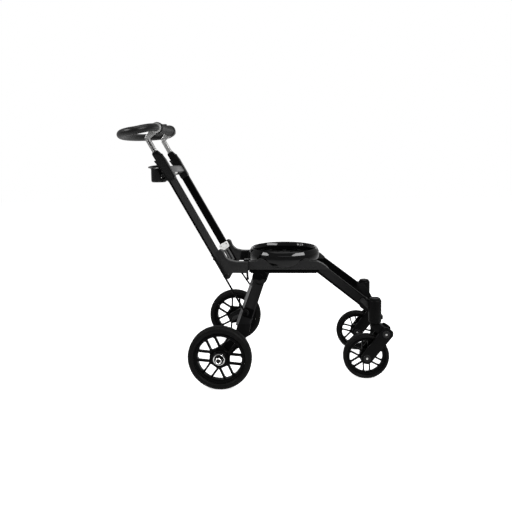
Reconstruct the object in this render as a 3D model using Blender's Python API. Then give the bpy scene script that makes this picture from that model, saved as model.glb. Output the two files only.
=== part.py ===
"""Frame of a four-wheeled stroller: side beams with a round seat hub, handle legs with a telescoping
loop grip, splayed rear legs with large wheels, and two sprung casters in front.

The frame stands on +Z up, faces +X, and its left side is +Y. Pieces are laid out from the middle of the
rear axle on the ground, and the last line of the layout moves everything to the middle of the length.
"""

import math

import bmesh
import bpy
from mathutils import Matrix, Vector

# Gaps between pieces, metres
SEAT_GAP = 0.0003
RUNNING_GAP = 0.0006

# Rear wheels
REAR_RADIUS = 0.125
REAR_TYRE_WIDTH = 0.046
REAR_TYRE_HEIGHT = 0.025
REAR_RIM_HEIGHT = 0.0135
REAR_RIM_WIDTH = 0.032
REAR_HUB_RADIUS = 0.036
REAR_HUB_WIDTH = 0.044
REAR_SPOKE_GAP = 0.029
REAR_SPOKE_THICK = 0.0072
REAR_SPOKE_DEPTH = 0.014
REAR_HALF_TRACK = 0.2846
REAR_AXLE_RADIUS = 0.006
REAR_SIDES = 40
SPOKE_PAIRS = 6
REAR_SPOKE_TURN = {"left": 33.0, "right": 5.5}

# Rear hub caps
CAP_RADIUS = 0.0225
CAP_DEPTH = 0.004
CAP_NOSE_RADIUS = 0.0127
CAP_NOSE_LENGTH = 0.0165

# Front wheels
FRONT_RADIUS = 0.092
FRONT_TYRE_WIDTH = 0.034
FRONT_TYRE_HEIGHT = 0.0155
FRONT_RIM_HEIGHT = 0.011
FRONT_RIM_WIDTH = 0.024
FRONT_HUB_RADIUS = 0.024
FRONT_HUB_WIDTH = 0.034
FRONT_SPOKE_GAP = 0.019
FRONT_SPOKE_THICK = 0.0052
FRONT_SPOKE_DEPTH = 0.011
FRONT_HALF_TRACK = 0.1615
FRONT_AXLE_RADIUS = 0.004
FRONT_SIDES = 32
WHEELBASE = 0.577
FRONT_SPOKE_TURN = {"left": 14.0, "right": 27.0}

# Side beams and the front legs that run on from them
BEAM_INNER = 0.1045
BEAM_WIDTH = 0.032
BEAM_TOP = 0.4728
BEAM_DEPTH = 0.0455
COVER_DEPTH = 0.0335
BEAM_REAR = 0.103
BEAM_BEND = 0.3815
COVER_SHOULDER = 0.380
COVER_TIP = 0.432
FRONT_LEG_END_RISE = 0.0465
FRONT_LEG_DEPTH = 0.040
CASTER_OFFSET = 0.023
FRONT_LEG_SHORT = 0.012
FRONT_LEG_WALL_IN = 0.004
BEAM_CHAMFER = 0.004

# Seat hub
HUB_X = 0.2475
HUB_RISE = 0.0382
HUB_HEIGHT = 0.064
HUB_OUTER = 0.1495
HUB_INNER = 0.1345
HUB_FOOT = 0.137
HUB_OPENING = 0.108
HUB_SHELF = 0.011
HUB_LINER_HEIGHT = 0.012
HUB_LIP_DROP = 0.016
HUB_SIDES = 48

# Elbows that carry the handle legs
PIVOT_X = 0.017
PIVOT_DROP = 0.0538
LOBE_RADIUS = 0.0165
CHEEK_THICK = 0.006
HORN_HEIGHT = 0.1067
HORN_DEPTH = 0.0215
FOLD_PIN_RADIUS = 0.005
PIN_HEAD = 0.0025

# Handle legs
LEG_LEAN = 29.05
LEG_DEPTH = 0.033
LEG_WIDTH = 0.024
LEG_HALF_SPACING = 0.132
LEG_LENGTH = 0.560
LEG_CORNER = 0.0012
STRUT_DEPTH = 0.0195
STRUT_WIDTH = 0.0175
STRUT_SETBACK = 0.0045
STRUT_INSIDE = 0.150
STRUT_TRAVEL_IN = 0.050

# Sleeves, crossbar and cup holder
SLEEVE_DEPTH = 0.0365
SLEEVE_WIDTH = 0.032
SLEEVE_LENGTH = 0.108
SLEEVE_CAP = 0.018
SHOULDER_DROP = 0.044
CROSSBAR_DROP = 0.069
CROSSBAR_HEIGHT = 0.034
CROSSBAR_DEPTH = 0.0132
CROSSBAR_FORWARD = 0.0072
CUP_RADIUS = 0.0347
CUP_HEIGHT = 0.064
CUP_WALL = 0.003
CUP_LIP = 0.0085
CUP_BACK = 0.0504
CUP_FLOOR_DROP = 0.0522
CUP_ARM_WIDTH = 0.012
CUP_ARM_REACH = 0.022

# Telescoping grip
GRIP_NECK_RISE = 0.0775
GRIP_BAR_AHEAD = 0.0306
GRIP_BAR_RISE = 0.0442
GRIP_DIP = 0.0095
GRIP_DIP_END = 1.0
GRIP_BAR_RADIUS = 0.0175
GRIP_RADIUS = 0.0158
GRIP_LENGTH = 0.1775
GRIP_HALF_WIDTH = 0.250
GRIP_WAIST_BACK = 0.056
GRIP_SLOPE = 0.12
GRIP_SQUARENESS = 2.0
BAND_RADIUS = 0.0238
NECK_BACK = 0.0185
NECK_FRONT = 0.0125
NECK_DROP = 0.012
NECK_STEP = 0.008
BAND_WIDTH = 0.022
COLLAR_RADIUS = 0.0205
COLLAR_WIDTH = 0.019

# Levers on the sleeves
ADJUST_DROP = 0.045
ADJUST_LENGTH = 0.034
ADJUST_THICK = 0.0034
ADJUST_TIP_GAP = 0.0034
ADJUST_WIDTH = 0.016

# Rear legs
KNUCKLE_X = 0.150
KNUCKLE_DROP = 0.0648
KNUCKLE_RADIUS = 0.0313
KNUCKLE_REACH = 0.040
KNUCKLE_WIDTH = 0.028
EAR_RADIUS = 0.0175
EAR_THICK = 0.008
REAR_PIN_RADIUS = 0.005
REAR_LEG_DEPTH = 0.049
REAR_LEG_THICK = 0.022
REAR_LEG_SEAM_X = 0.089
REAR_LEG_SEAM_Z = 0.232
AXLE_ARM_INSET = 0.046
SPLAY_BELOW_KNUCKLE = 0.020
REAR_LEG_EDGE = 0.007
AXLE_ARM_THICK = 0.024
AXLE_BOSS_RADIUS = 0.026
CROSS_TUBE_RADIUS = 0.011
CROSS_TUBE_X = 0.078
CROSS_TUBE_Z = 0.205
CROSS_BOSS_RADIUS = 0.016
CROSS_BOSS_STAND = 0.002
CROSS_BOSS_LENGTH = 0.022

# Brake pedal
PEDAL_WIDTH = 0.070
PEDAL_LENGTH = 0.062
PEDAL_THICK = 0.010
PEDAL_DROOP = 18.0

# Link rods from the handle legs to the rear legs
ROD_RADIUS = 0.003
ROD_LUG_AT = 0.083
ROD_LUG_BACK = 0.0115
ROD_EYE_RADIUS = 0.0068
ROD_EYE_WIDTH = 0.0045
ROD_PIN_RADIUS = 0.0025
ROD_FOOT_X = 0.096
ROD_FOOT_Z = 0.274
ROD_PAD_RADIUS = 0.012
ROD_FOOT_WIDTH = 0.0105
ROD_FOOT_STAND = 0.0075

# Latches on the inner faces of the handle legs
LATCH_LOW = 0.075
LATCH_HIGH = 0.103
LATCH_BACK = 0.026
LATCH_FRONT = 0.021
LATCH_THICK = 0.008
LATCH_BAR_WIDTH = 0.020
LATCH_BAR_LOW = 0.012

# Casters
CASTER_TRAIL = 0.0345
HOUSING_RADIUS = 0.0255
HOUSING_LOW = 0.232
HOUSING_TOP = 0.331
HOUSING_DOME = 0.009
SOCKET_LENGTH = 0.060
SOCKET_WALL = 0.004
SWIVEL_PIN_RADIUS = 0.006
SWIVEL_PIN_LENGTH = 0.070
STEM_COLLAR_RADIUS = 0.019
STEM_COLLAR_HEIGHT = 0.015
KNEE_AHEAD = 0.0752
KNEE_Z = 0.1909
KNEE_ROUND = 0.016
KNEE_PIN_RADIUS = 0.004
FORK_GAP = 0.0262
FORK_THICK = 0.008
FORK_HALF_WIDTH = 0.0255
FORK_FOOT_RADIUS = 0.023
FORK_BRIDGE_NEAR = 0.018
FORK_BRIDGE_FAR = 0.0275
LOCK_WIDTH = 0.012
LOCK_HEIGHT = 0.022
LOCK_DEPTH = 0.0055
LOCK_RISE = 0.011

# Brace between the casters, clamps and release levers under the beams
BRACE_HEIGHT = 0.022
BRACE_SETBACK = 0.0045
BRACE_LENGTH = 0.044
BRACE_DROP = 0.0055
CLAMP_LENGTH = 0.020
CLAMP_THICK = 0.008
CLAMP_X = 0.084
RELEASE_X = 0.098
RELEASE_LENGTH = 0.033
RELEASE_DEPTH = 0.008
RELEASE_WIDTH = 0.014

SIDES = {"left": 1, "right": -1}
LEAN = math.radians(LEG_LEAN)
SMOOTH_ANGLE = math.radians(38)

# Sizes that follow from the driving ones
BEAM_OUTER = BEAM_INNER + BEAM_WIDTH
BEAM_LOW = BEAM_TOP - BEAM_DEPTH
COVER_LOW = BEAM_TOP - COVER_DEPTH
BEAM_MIDDLE = (BEAM_INNER + BEAM_OUTER) / 2
LEG_OUTER = LEG_HALF_SPACING + LEG_WIDTH / 2
LEG_INNER = LEG_HALF_SPACING - LEG_WIDTH / 2
SLEEVE_INNER = LEG_HALF_SPACING - SLEEVE_WIDTH / 2
CHEEK_INNER = LEG_OUTER + RUNNING_GAP
CHEEK_OUTER = CHEEK_INNER + CHEEK_THICK
HUB_TOP = BEAM_TOP + HUB_RISE
PIVOT_Z = BEAM_TOP - PIVOT_DROP
KNUCKLE_Z = BEAM_TOP - KNUCKLE_DROP
HUB_BASE = HUB_TOP - HUB_HEIGHT
SWIVEL_X = WHEELBASE + CASTER_TRAIL
KNEE_X = WHEELBASE + KNEE_AHEAD
BRACE_FRONT = SWIVEL_X - BRACE_SETBACK
BRACE_TOP = HOUSING_TOP - BRACE_DROP
LOCK_Z = HOUSING_LOW + LOCK_RISE
FRONT_LEG_TOE = FRONT_HALF_TRACK - CASTER_OFFSET - BEAM_MIDDLE
FRONT_LEG_REACH = SWIVEL_X - HOUSING_RADIUS - FRONT_LEG_SHORT
FRONT_LEG_FALL = math.atan2(BEAM_LOW - HOUSING_LOW - FRONT_LEG_END_RISE, FRONT_LEG_REACH - BEAM_BEND)
SLEEVE_START = LEG_LENGTH - SLEEVE_LENGTH
CROSSBAR_AT = LEG_LENGTH - CROSSBAR_DROP
ADJUST_AT = LEG_LENGTH - ADJUST_DROP
CUP_X = PIVOT_X - CROSSBAR_AT * math.sin(LEAN) - CUP_BACK
CUP_FLOOR_Z = PIVOT_Z + CROSSBAR_AT * math.cos(LEAN) - CUP_FLOOR_DROP
GRIP_NECK_AT = LEG_LENGTH + GRIP_NECK_RISE
GRIP_BAR_X = PIVOT_X - GRIP_NECK_AT * math.sin(LEAN) + GRIP_BAR_AHEAD
GRIP_BAR_Z = PIVOT_Z + GRIP_NECK_AT * math.cos(LEAN) + GRIP_BAR_RISE
GRIP_WAIST_X = GRIP_BAR_X - GRIP_WAIST_BACK
GRIP_REAR = GRIP_LENGTH - GRIP_BAR_X
REAR_LEG_ACROSS = BEAM_OUTER - REAR_LEG_THICK / 2
SPLAY_TOP = KNUCKLE_Z - SPLAY_BELOW_KNUCKLE
REAR_LEG_SPLAY = (REAR_HALF_TRACK - AXLE_ARM_INSET - REAR_LEG_ACROSS) / (SPLAY_TOP - REAR_RADIUS)
FRONT_END = KNEE_X + FORK_HALF_WIDTH * 1.14
ORIGIN_X = (FRONT_END - GRIP_REAR) / 2


def material(name, colour, roughness, metallic=0.0):
    """A plain Principled material in a piece's own colour."""
    made = bpy.data.materials.new(name)
    made.use_nodes = True
    shader = made.node_tree.nodes["Principled BSDF"]
    shader.inputs["Base Color"].default_value = (*colour, 1.0)
    shader.inputs["Roughness"].default_value = roughness
    shader.inputs["Metallic"].default_value = metallic
    return made


class Group:
    """Pieces that move as one: an empty on the joint's axis, under the group that carries it."""

    def __init__(self, name, pivot, carrier=None):
        self.pivot = Vector(pivot)
        self.empty = bpy.data.objects.new(name, None)
        self.empty.empty_display_size = 0.03
        bpy.context.scene.collection.objects.link(self.empty)
        if carrier is None:
            self.empty.location = self.pivot - Vector((ORIGIN_X, 0, 0))
        else:
            self.empty.parent = carrier.empty
            self.empty.location = self.pivot - carrier.pivot


def finish(name, shape, group, look):
    """Turns a bmesh laid out from the rear axle into an object whose origin is its joint's axis."""
    bmesh.ops.translate(shape, verts=shape.verts, vec=-group.pivot)
    bmesh.ops.recalc_face_normals(shape, faces=shape.faces)
    mesh = bpy.data.meshes.new(name)
    shape.to_mesh(mesh)
    shape.free()
    mesh.shade_smooth()
    mesh.set_sharp_from_angle(angle=SMOOTH_ANGLE)
    mesh.materials.append(look)
    piece = bpy.data.objects.new(name, mesh)
    piece.parent = group.empty
    bpy.context.scene.collection.objects.link(piece)
    return piece


def combine(piece, shapes, group, operation="DIFFERENCE"):
    """Cuts each closed bmesh from a piece, or joins it on."""
    for number, shape in enumerate(shapes):
        tool = finish(f"{piece.name}_{operation.lower()}_{number}", shape, group, piece.data.materials[0])
        tool.hide_render = True
        tool.display_type = "WIRE"
        step = piece.modifiers.new(f"{operation.title()} {number}", "BOOLEAN")
        step.operation = operation
        step.solver = "EXACT"
        step.object = tool


def flat(points, plane="XZ"):
    """A bmesh with one face through points of the side plane, or of the plan."""
    shape = bmesh.new()
    places = [Vector((a, 0, b)) if plane == "XZ" else Vector((a, b, 0)) for a, b in points]
    shape.faces.new([shape.verts.new(place) for place in places])
    return shape


def push(shape, step):
    """Extrudes the faces of a flat bmesh along a vector, so that it is a closed solid."""
    made = bmesh.ops.extrude_face_region(shape, geom=shape.faces[:])
    moved = [item for item in made["geom"] if isinstance(item, bmesh.types.BMVert)]
    bmesh.ops.translate(shape, verts=moved, vec=step)
    bmesh.ops.recalc_face_normals(shape, faces=shape.faces)
    return shape


def chamfer(shape, width, segments=1, long_way=None, not_across=False):
    """Bevels a shape's edges: all, those along one axis, or those that don't run across the frame."""
    edges = shape.edges[:]
    if long_way is not None:
        edges = [e for e in edges if abs((e.verts[1].co - e.verts[0].co).normalized()[long_way]) > 0.9]
    if not_across:
        edges = [e for e in edges if abs(e.verts[1].co.y - e.verts[0].co.y) < 1e-6]
    bmesh.ops.bevel(
        shape,
        geom=edges,
        offset=width,
        offset_type="OFFSET",
        segments=segments,
        profile=0.5,
        affect="EDGES",
        material=-1,
        clamp_overlap=True,
    )
    return shape


def side_prism(points, near, far, side=1, edge=0.0):
    """A side outline pushed across the frame, from one distance off the middle to another."""
    shape = push(flat(points), Vector((0, far - near, 0)))
    if edge:
        chamfer(shape, edge)
    bmesh.ops.translate(shape, verts=shape.verts, vec=(0, near, 0))
    return mirrored(shape, side)


def mirrored(shape, side):
    """The same shape for the frame's left side, or turned over for its right."""
    if side < 0:
        bmesh.ops.scale(shape, verts=shape.verts, vec=(1, -1, 1))
        bmesh.ops.reverse_faces(shape, faces=shape.faces[:])
    return shape


def block(low, high, side=1):
    """A box between two corners."""
    points = [(low[0], low[2]), (high[0], low[2]), (high[0], high[2]), (low[0], high[2])]
    return side_prism(points, low[1], high[1], side)


def arc(centre, radius, start, end, steps):
    """Points on an arc, with its angles in degrees."""
    turns = [math.radians(start + (end - start) * step / steps) for step in range(steps + 1)]
    return [(centre[0] + radius * math.cos(turn), centre[1] + radius * math.sin(turn)) for turn in turns]


def turned(profile, sides, axis="Y"):
    """A closed profile of (radius, place along the axis), spun once round Y or Z."""
    shape = bmesh.new()
    if axis == "Y":
        places = [Vector((0, along, -radius)) for radius, along in profile]
        around = Vector((0, 1, 0))
    else:
        places = [Vector((radius, 0, along)) for radius, along in profile]
        around = Vector((0, 0, 1))
    verts = [shape.verts.new(place) for place in places]
    edges = [shape.edges.new((a, b)) for a, b in zip(verts, verts[1:] + verts[:1])]
    bmesh.ops.spin(
        shape,
        geom=verts + edges,
        cent=(0, 0, 0),
        axis=around,
        dvec=(0, 0, 0),
        angle=math.tau,
        steps=sides,
        use_merge=True,
    )
    bmesh.ops.remove_doubles(shape, verts=shape.verts, dist=1e-6)
    bmesh.ops.recalc_face_normals(shape, faces=shape.faces)
    return shape


def rod(start, end, radius, sides=16):
    """A round bar between two points."""
    start, end = Vector(start), Vector(end)
    along = end - start
    shape = bmesh.new()
    bmesh.ops.create_cone(
        shape,
        cap_ends=True,
        segments=sides,
        radius1=radius,
        radius2=radius,
        depth=along.length,
        matrix=Matrix.Translation((start + end) / 2) @ along.to_track_quat("Z", "Y").to_matrix().to_4x4(),
    )
    return shape


def cross_rod(x, z, near, far, radius, side=1, sides=16):
    """A round bar across the frame."""
    return rod((x, side * near, z), (x, side * far, z), radius, sides)


def sweep(stations):
    """A solid through sections with the same number of points."""
    shape = bmesh.new()
    ends = [shape.verts.new(place) for place in stations[0]]
    shape.faces.new(ends)
    front = shape.faces[:]
    for station in stations[1:]:
        order = {vert: number for number, vert in enumerate(ends)}
        made = bmesh.ops.extrude_face_region(shape, geom=front)
        moved = [item for item in made["geom"] if isinstance(item, bmesh.types.BMVert)]
        if station is not stations[1]:
            bmesh.ops.delete(shape, geom=front, context="FACES_ONLY")
        matched = {}
        for vert in moved:
            partner = next(e.other_vert(vert) for e in vert.link_edges if e.other_vert(vert) in order)
            matched[order[partner]] = vert
        for number, vert in matched.items():
            vert.co = station[number]
        ends = [matched[number] for number in range(len(station))]
        front = [item for item in made["geom"] if isinstance(item, bmesh.types.BMFace)]
    bmesh.ops.recalc_face_normals(shape, faces=shape.faces)
    return shape


def leg_place(side):
    """From a handle leg's own axes to the frame: Z up the leg from its pivot, X towards the front."""
    lean = Matrix.Rotation(-LEAN, 4, "Y")
    return Matrix.Translation((PIVOT_X, side * LEG_HALF_SPACING, PIVOT_Z)) @ lean


def on_leg(shape, side):
    """Moves a shape from a handle leg's own axes to its place on the frame."""
    bmesh.ops.transform(shape, matrix=leg_place(side), verts=shape.verts)
    return shape


def leg_point(forward, up, across=0.0):
    """A place given in a handle leg's own axes, with its distance off the frame's middle."""
    place = leg_place(1) @ Vector((forward, 0, up))
    return Vector((place.x, across, place.z))


def box_section(depth, width, corner, height, low=0.0):
    """An upright bar with rounded corners, in a handle leg's own axes."""
    d, w = depth / 2, width / 2
    points = [(-d, -w), (d, -w), (d, w), (-d, w)]
    shape = push(flat(points, "XY"), Vector((0, 0, height)))
    chamfer(shape, corner, 2, long_way=2)
    bmesh.ops.translate(shape, verts=shape.verts, vec=(0, 0, low))
    return shape


def splay_at(z):
    """How far off the frame's middle the splayed rear leg is at one height."""
    return REAR_LEG_ACROSS + REAR_LEG_SPLAY * (SPLAY_TOP - z)


def splayed(shape, side):
    """Leans a shape outwards as it goes down, along the rear leg."""
    lean = Matrix.Identity(4)
    lean[1][2] = -side * REAR_LEG_SPLAY
    lean[1][3] = side * splay_at(0)
    bmesh.ops.transform(shape, matrix=lean, verts=shape.verts)
    return shape


def make_tyre(name, group, x, radius, across, height, width, sides, look):
    """A tyre with a flat-topped tread."""
    inner = radius - height
    half = width / 2
    profile = [
        (inner, -half * 0.72),
        (inner + height * 0.30, -half),
        (radius - height * 0.32, -half * 0.92),
        (radius, -half * 0.42),
        (radius, half * 0.42),
        (radius - height * 0.32, half * 0.92),
        (inner + height * 0.30, half),
        (inner, half * 0.72),
    ]
    shape = turned(profile, sides)
    bmesh.ops.translate(shape, verts=shape.verts, vec=(x, across, radius))
    return finish(name, shape, group, look)


def spoke_windows(window_radius, hub_radius, gap, thick, depth, turned_by):
    """Cutters for the rounded windows inside each pair of spokes and for the wedges between pairs."""
    cutters = []
    inner = math.hypot(hub_radius, gap / 2) + 0.001
    reach = math.degrees(math.asin(gap / 2 / window_radius))
    side = gap / 2 + thick
    start = math.degrees(math.asin(side / window_radius))
    half_step = 180 / SPOKE_PAIRS
    tip = max(side / math.sin(math.radians(half_step)), hub_radius + 0.001)
    for pair in range(SPOKE_PAIRS):
        turn = pair * 2 * half_step
        window = [(inner, gap / 2), (inner, -gap / 2), *arc((0, 0), window_radius, -reach, reach, 2)]
        wedge = [(tip, 0), *arc((0, 0), window_radius, start - half_step, half_step - start, 3)]
        for points, place in ((window, turn), (wedge, turn + half_step)):
            shape = push(flat(points), Vector((0, depth * 3, 0)))
            bmesh.ops.translate(shape, verts=shape.verts, vec=(0, -depth * 1.5, 0))
            spin = Matrix.Rotation(math.radians(place + turned_by), 4, "Y")
            bmesh.ops.transform(shape, matrix=spin, verts=shape.verts)
            cutters.append(shape)
    return cutters


def make_rim(name, group, x, across, wheel_radius, sizes, sides, turned_by, look):
    """A rim, a hub and pairs of parallel spokes, cut from one turned disc."""
    tyre, rim, rim_width, hub_radius, hub_width, gap, thick, depth, bore = sizes
    outer = wheel_radius - tyre - SEAT_GAP
    window = wheel_radius - tyre - rim
    half, web, hub = rim_width / 2, depth / 2, hub_width / 2
    profile = [
        (bore, -hub),
        (hub_radius * 0.8, -hub),
        (hub_radius, -web),
        (window + 0.0005, -web),
        (window + 0.0005, -half),
        (outer, -half),
        (outer, half),
        (window + 0.0005, half),
        (window + 0.0005, web),
        (hub_radius, web),
        (hub_radius * 0.8, hub),
        (bore, hub),
    ]
    shape = turned(profile, sides)
    place = Vector((x, across, wheel_radius))
    bmesh.ops.translate(shape, verts=shape.verts, vec=place)
    piece = finish(name, shape, group, look)
    cutter = bmesh.new()
    for part in spoke_windows(window, hub_radius, gap, thick, depth, turned_by):
        held = bpy.data.meshes.new("window")
        part.to_mesh(held)
        part.free()
        cutter.from_mesh(held)
        bpy.data.meshes.remove(held)
    bmesh.ops.translate(cutter, verts=cutter.verts, vec=place)
    combine(piece, [cutter], group)
    return piece


def make_rear_wheel(label, side, group, look):
    """Tyre, spoked rim and the round cap over the axle's end."""
    across = side * REAR_HALF_TRACK
    make_tyre(
        f"rear_tyre_{label}", group, 0, REAR_RADIUS, across, REAR_TYRE_HEIGHT, REAR_TYRE_WIDTH, REAR_SIDES,
        look["tyre"],
    )
    sizes = (
        REAR_TYRE_HEIGHT, REAR_RIM_HEIGHT, REAR_RIM_WIDTH, REAR_HUB_RADIUS, REAR_HUB_WIDTH, REAR_SPOKE_GAP,
        REAR_SPOKE_THICK, REAR_SPOKE_DEPTH, REAR_AXLE_RADIUS + RUNNING_GAP,
    )
    make_rim(
        f"rear_rim_{label}", group, 0, across, REAR_RADIUS, sizes, REAR_SIDES, REAR_SPOKE_TURN[label],
        look["rim"],
    )
    face = REAR_HUB_WIDTH / 2 + SEAT_GAP
    profile = [
        (0, face),
        (CAP_RADIUS, face),
        (CAP_RADIUS, face + CAP_DEPTH * 0.6),
        (CAP_RADIUS * 0.88, face + CAP_DEPTH),
        (CAP_NOSE_RADIUS, face + CAP_DEPTH),
        (CAP_NOSE_RADIUS, face + CAP_DEPTH + CAP_NOSE_LENGTH * 0.9),
        (CAP_NOSE_RADIUS * 0.85, face + CAP_DEPTH + CAP_NOSE_LENGTH),
        (0, face + CAP_DEPTH + CAP_NOSE_LENGTH),
    ]
    cap = turned(profile, 24)
    if side < 0:
        bmesh.ops.rotate(cap, verts=cap.verts, matrix=Matrix.Rotation(math.pi, 3, "Z"))
    bmesh.ops.translate(cap, verts=cap.verts, vec=(0, across, REAR_RADIUS))
    finish(f"hub_cap_{label}", cap, group, look["hub_cap"])


def make_front_wheel(label, side, group, look):
    """Tyre and spoked rim of a caster."""
    across = side * FRONT_HALF_TRACK
    make_tyre(
        f"front_tyre_{label}", group, WHEELBASE, FRONT_RADIUS, across, FRONT_TYRE_HEIGHT, FRONT_TYRE_WIDTH,
        FRONT_SIDES, look["tyre"],
    )
    sizes = (
        FRONT_TYRE_HEIGHT, FRONT_RIM_HEIGHT, FRONT_RIM_WIDTH, FRONT_HUB_RADIUS, FRONT_HUB_WIDTH, FRONT_SPOKE_GAP,
        FRONT_SPOKE_THICK, FRONT_SPOKE_DEPTH, FRONT_AXLE_RADIUS + RUNNING_GAP,
    )
    make_rim(
        f"front_rim_{label}", group, WHEELBASE, across, FRONT_RADIUS, sizes, FRONT_SIDES,
        FRONT_SPOKE_TURN[label], look["rim"],
    )


def hub_profile(grow=0.0):
    """The seat hub's ring in section, or the space that it takes when it is grown."""
    lip = HUB_TOP - HUB_LIP_DROP
    wall = HUB_OUTER - HUB_INNER
    bulge = HUB_OUTER - HUB_FOOT
    outside = [
        (HUB_FOOT + grow, HUB_BASE - grow),
        (HUB_FOOT + bulge * 0.55 + grow, HUB_BASE + (lip - HUB_BASE) * 0.25),
        (HUB_OUTER + grow, HUB_BASE + (lip - HUB_BASE) * 0.55),
        (HUB_OUTER - bulge * 0.06 + grow, lip),
        (HUB_OUTER - wall * 0.25 + grow, lip + HUB_LIP_DROP * 0.72),
        (HUB_OUTER - wall * 0.50 + grow, HUB_TOP + grow),
    ]
    if grow:
        return [(0.0, HUB_BASE - grow), *outside, (0.0, HUB_TOP + grow)]
    inside = [
        (HUB_OUTER - wall * 0.80, HUB_TOP),
        (HUB_INNER, HUB_TOP - HUB_LIP_DROP * 0.2),
        (HUB_INNER, HUB_BASE + HUB_SHELF),
        (HUB_OPENING, HUB_BASE + HUB_SHELF),
        (HUB_OPENING, HUB_BASE),
    ]
    return outside + inside


def hub_space():
    """What the beams leave free for the hub's ring."""
    shape = turned(hub_profile(SEAT_GAP), HUB_SIDES, "Z")
    bmesh.ops.translate(shape, verts=shape.verts, vec=(HUB_X, 0, 0))
    return shape


def make_hub(group, look):
    """The glossy ring that the seat turns on, and the liner on its shelf."""
    ring = turned(hub_profile(), HUB_SIDES, "Z")
    bmesh.ops.translate(ring, verts=ring.verts, vec=(HUB_X, 0, 0))
    finish("hub_ring", ring, group, look["gloss"])
    low = HUB_BASE + HUB_SHELF + SEAT_GAP
    high = low + HUB_LINER_HEIGHT
    outer = HUB_INNER - SEAT_GAP * 2
    profile = [
        (HUB_OPENING + 0.002, low),
        (outer, low),
        (outer, high),
        (HUB_OPENING + 0.008, high),
        (HUB_OPENING + 0.002, high - 0.005),
    ]
    liner = turned(profile, HUB_SIDES, "Z")
    bmesh.ops.translate(liner, verts=liner.verts, vec=(HUB_X, 0, 0))
    finish("hub_liner", liner, group, look["matte"])


def front_leg_run():
    """How the front leg runs: the bend's place, its direction, and how far it goes to the caster."""
    fall = FRONT_LEG_FALL
    along = Vector((math.cos(fall), 0, -math.sin(fall)))
    up = Vector((math.sin(fall), 0, math.cos(fall)))
    start = Vector((BEAM_BEND, 0, BEAM_LOW))
    length = (FRONT_LEG_REACH - start.x) / along.x
    return start, along, up, length


def front_leg_section(side, place, up, rise, across):
    """Four corners of the front leg's box, its low edge at one place."""
    near = across - (BEAM_WIDTH / 2 - FRONT_LEG_WALL_IN)
    far = across + (BEAM_WIDTH / 2 - FRONT_LEG_WALL_IN)
    low, high = place, place + up * rise
    corners = [(low, near), (low, far), (high, far), (high, near)]
    return [Vector((point.x, side * y, point.z)) for point, y in corners]


def make_front_leg(label, side, group, look):
    """The box tube that runs under the beam's cover and bends down to the caster."""
    start, along, up, length = front_leg_run()
    rise = BEAM_DEPTH - COVER_DEPTH - SEAT_GAP
    level = Vector((0, 0, 1))
    rear = Vector((BEAM_REAR + 0.003, 0, BEAM_LOW))
    bend = FRONT_LEG_FALL
    cover_point = Vector((COVER_TIP, 0, COVER_LOW - SEAT_GAP))
    reach = (cover_point - start).dot(along)
    thick = (cover_point - start).dot(up)
    toe = FRONT_LEG_TOE / length
    half = Vector((math.sin(bend / 2), 0, math.cos(bend / 2)))
    stations = [
        front_leg_section(side, rear, level, rise, BEAM_MIDDLE),
        front_leg_section(side, start, half, rise / math.cos(bend / 2), BEAM_MIDDLE),
        front_leg_section(side, start + along * reach, up, thick, BEAM_MIDDLE + toe * reach),
        front_leg_section(side, start + along * (reach + 0.004), up, FRONT_LEG_DEPTH, BEAM_MIDDLE + toe * reach),
        front_leg_section(side, start + along * length, up, FRONT_LEG_DEPTH, BEAM_MIDDLE + FRONT_LEG_TOE),
    ]
    shape = sweep(stations)
    chamfer(shape, BEAM_CHAMFER * 0.6)
    finish(f"front_leg_{label}", shape, group, look["satin"])


def make_beam(label, side, group, look):
    """The beam's cover: a shallow rail with raised wings beside the hub and a pointed front end."""
    wing = 0.0125
    chord = math.sqrt(HUB_OUTER**2 - BEAM_OUTER**2)
    rear_wing, front_wing = HUB_X - chord, HUB_X + chord
    points = [
        (BEAM_REAR, COVER_LOW),
        (COVER_TIP, COVER_LOW),
        (COVER_SHOULDER + (COVER_TIP - COVER_SHOULDER) * 0.45, BEAM_TOP - COVER_DEPTH * 0.30),
        (COVER_SHOULDER, BEAM_TOP),
        (front_wing + 0.034, BEAM_TOP),
        (front_wing + 0.016, BEAM_TOP + wing),
        (front_wing - 0.010, BEAM_TOP + wing * 0.9),
        (rear_wing + 0.010, BEAM_TOP + wing * 0.9),
        (rear_wing - 0.016, BEAM_TOP + wing),
        (rear_wing - 0.034, BEAM_TOP),
        (BEAM_REAR, BEAM_TOP),
    ]
    shape = side_prism(points, BEAM_INNER, BEAM_OUTER, side)
    piece = finish(f"side_beam_{label}", shape, group, look["satin"])
    combine(piece, [hub_space()], group)
    return piece


def elbow_outline():
    """The elbow from the side: a horn up the leg's front, the lobe round the pivot, and the beam's end."""
    front = LEG_DEPTH / 2
    horn_base = leg_point(-0.002, 0.024)
    horn_tip = leg_point(front - 0.002, HORN_HEIGHT - 0.003)
    tip_round = leg_point(front + 0.008, HORN_HEIGHT)
    tip_front = leg_point(front + HORN_DEPTH - 0.004, HORN_HEIGHT - 0.011)
    curve = leg_point(front + 0.0135, HORN_HEIGHT - 0.039)
    lobe = arc((PIVOT_X, PIVOT_Z), LOBE_RADIUS, 170, 322, 8)
    return [
        (horn_tip.x, horn_tip.z),
        (horn_base.x, horn_base.z),
        *lobe,
        (PIVOT_X + 0.023, BEAM_LOW + 0.001),
        (BEAM_REAR - SEAT_GAP, BEAM_LOW),
        (BEAM_REAR - SEAT_GAP, BEAM_TOP),
        (PIVOT_X + 0.036, BEAM_TOP + 0.0005),
        (PIVOT_X + 0.012, BEAM_TOP + 0.006),
        (curve.x, curve.z),
        (tip_front.x, tip_front.z),
        (tip_round.x, tip_round.z),
    ]


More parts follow.
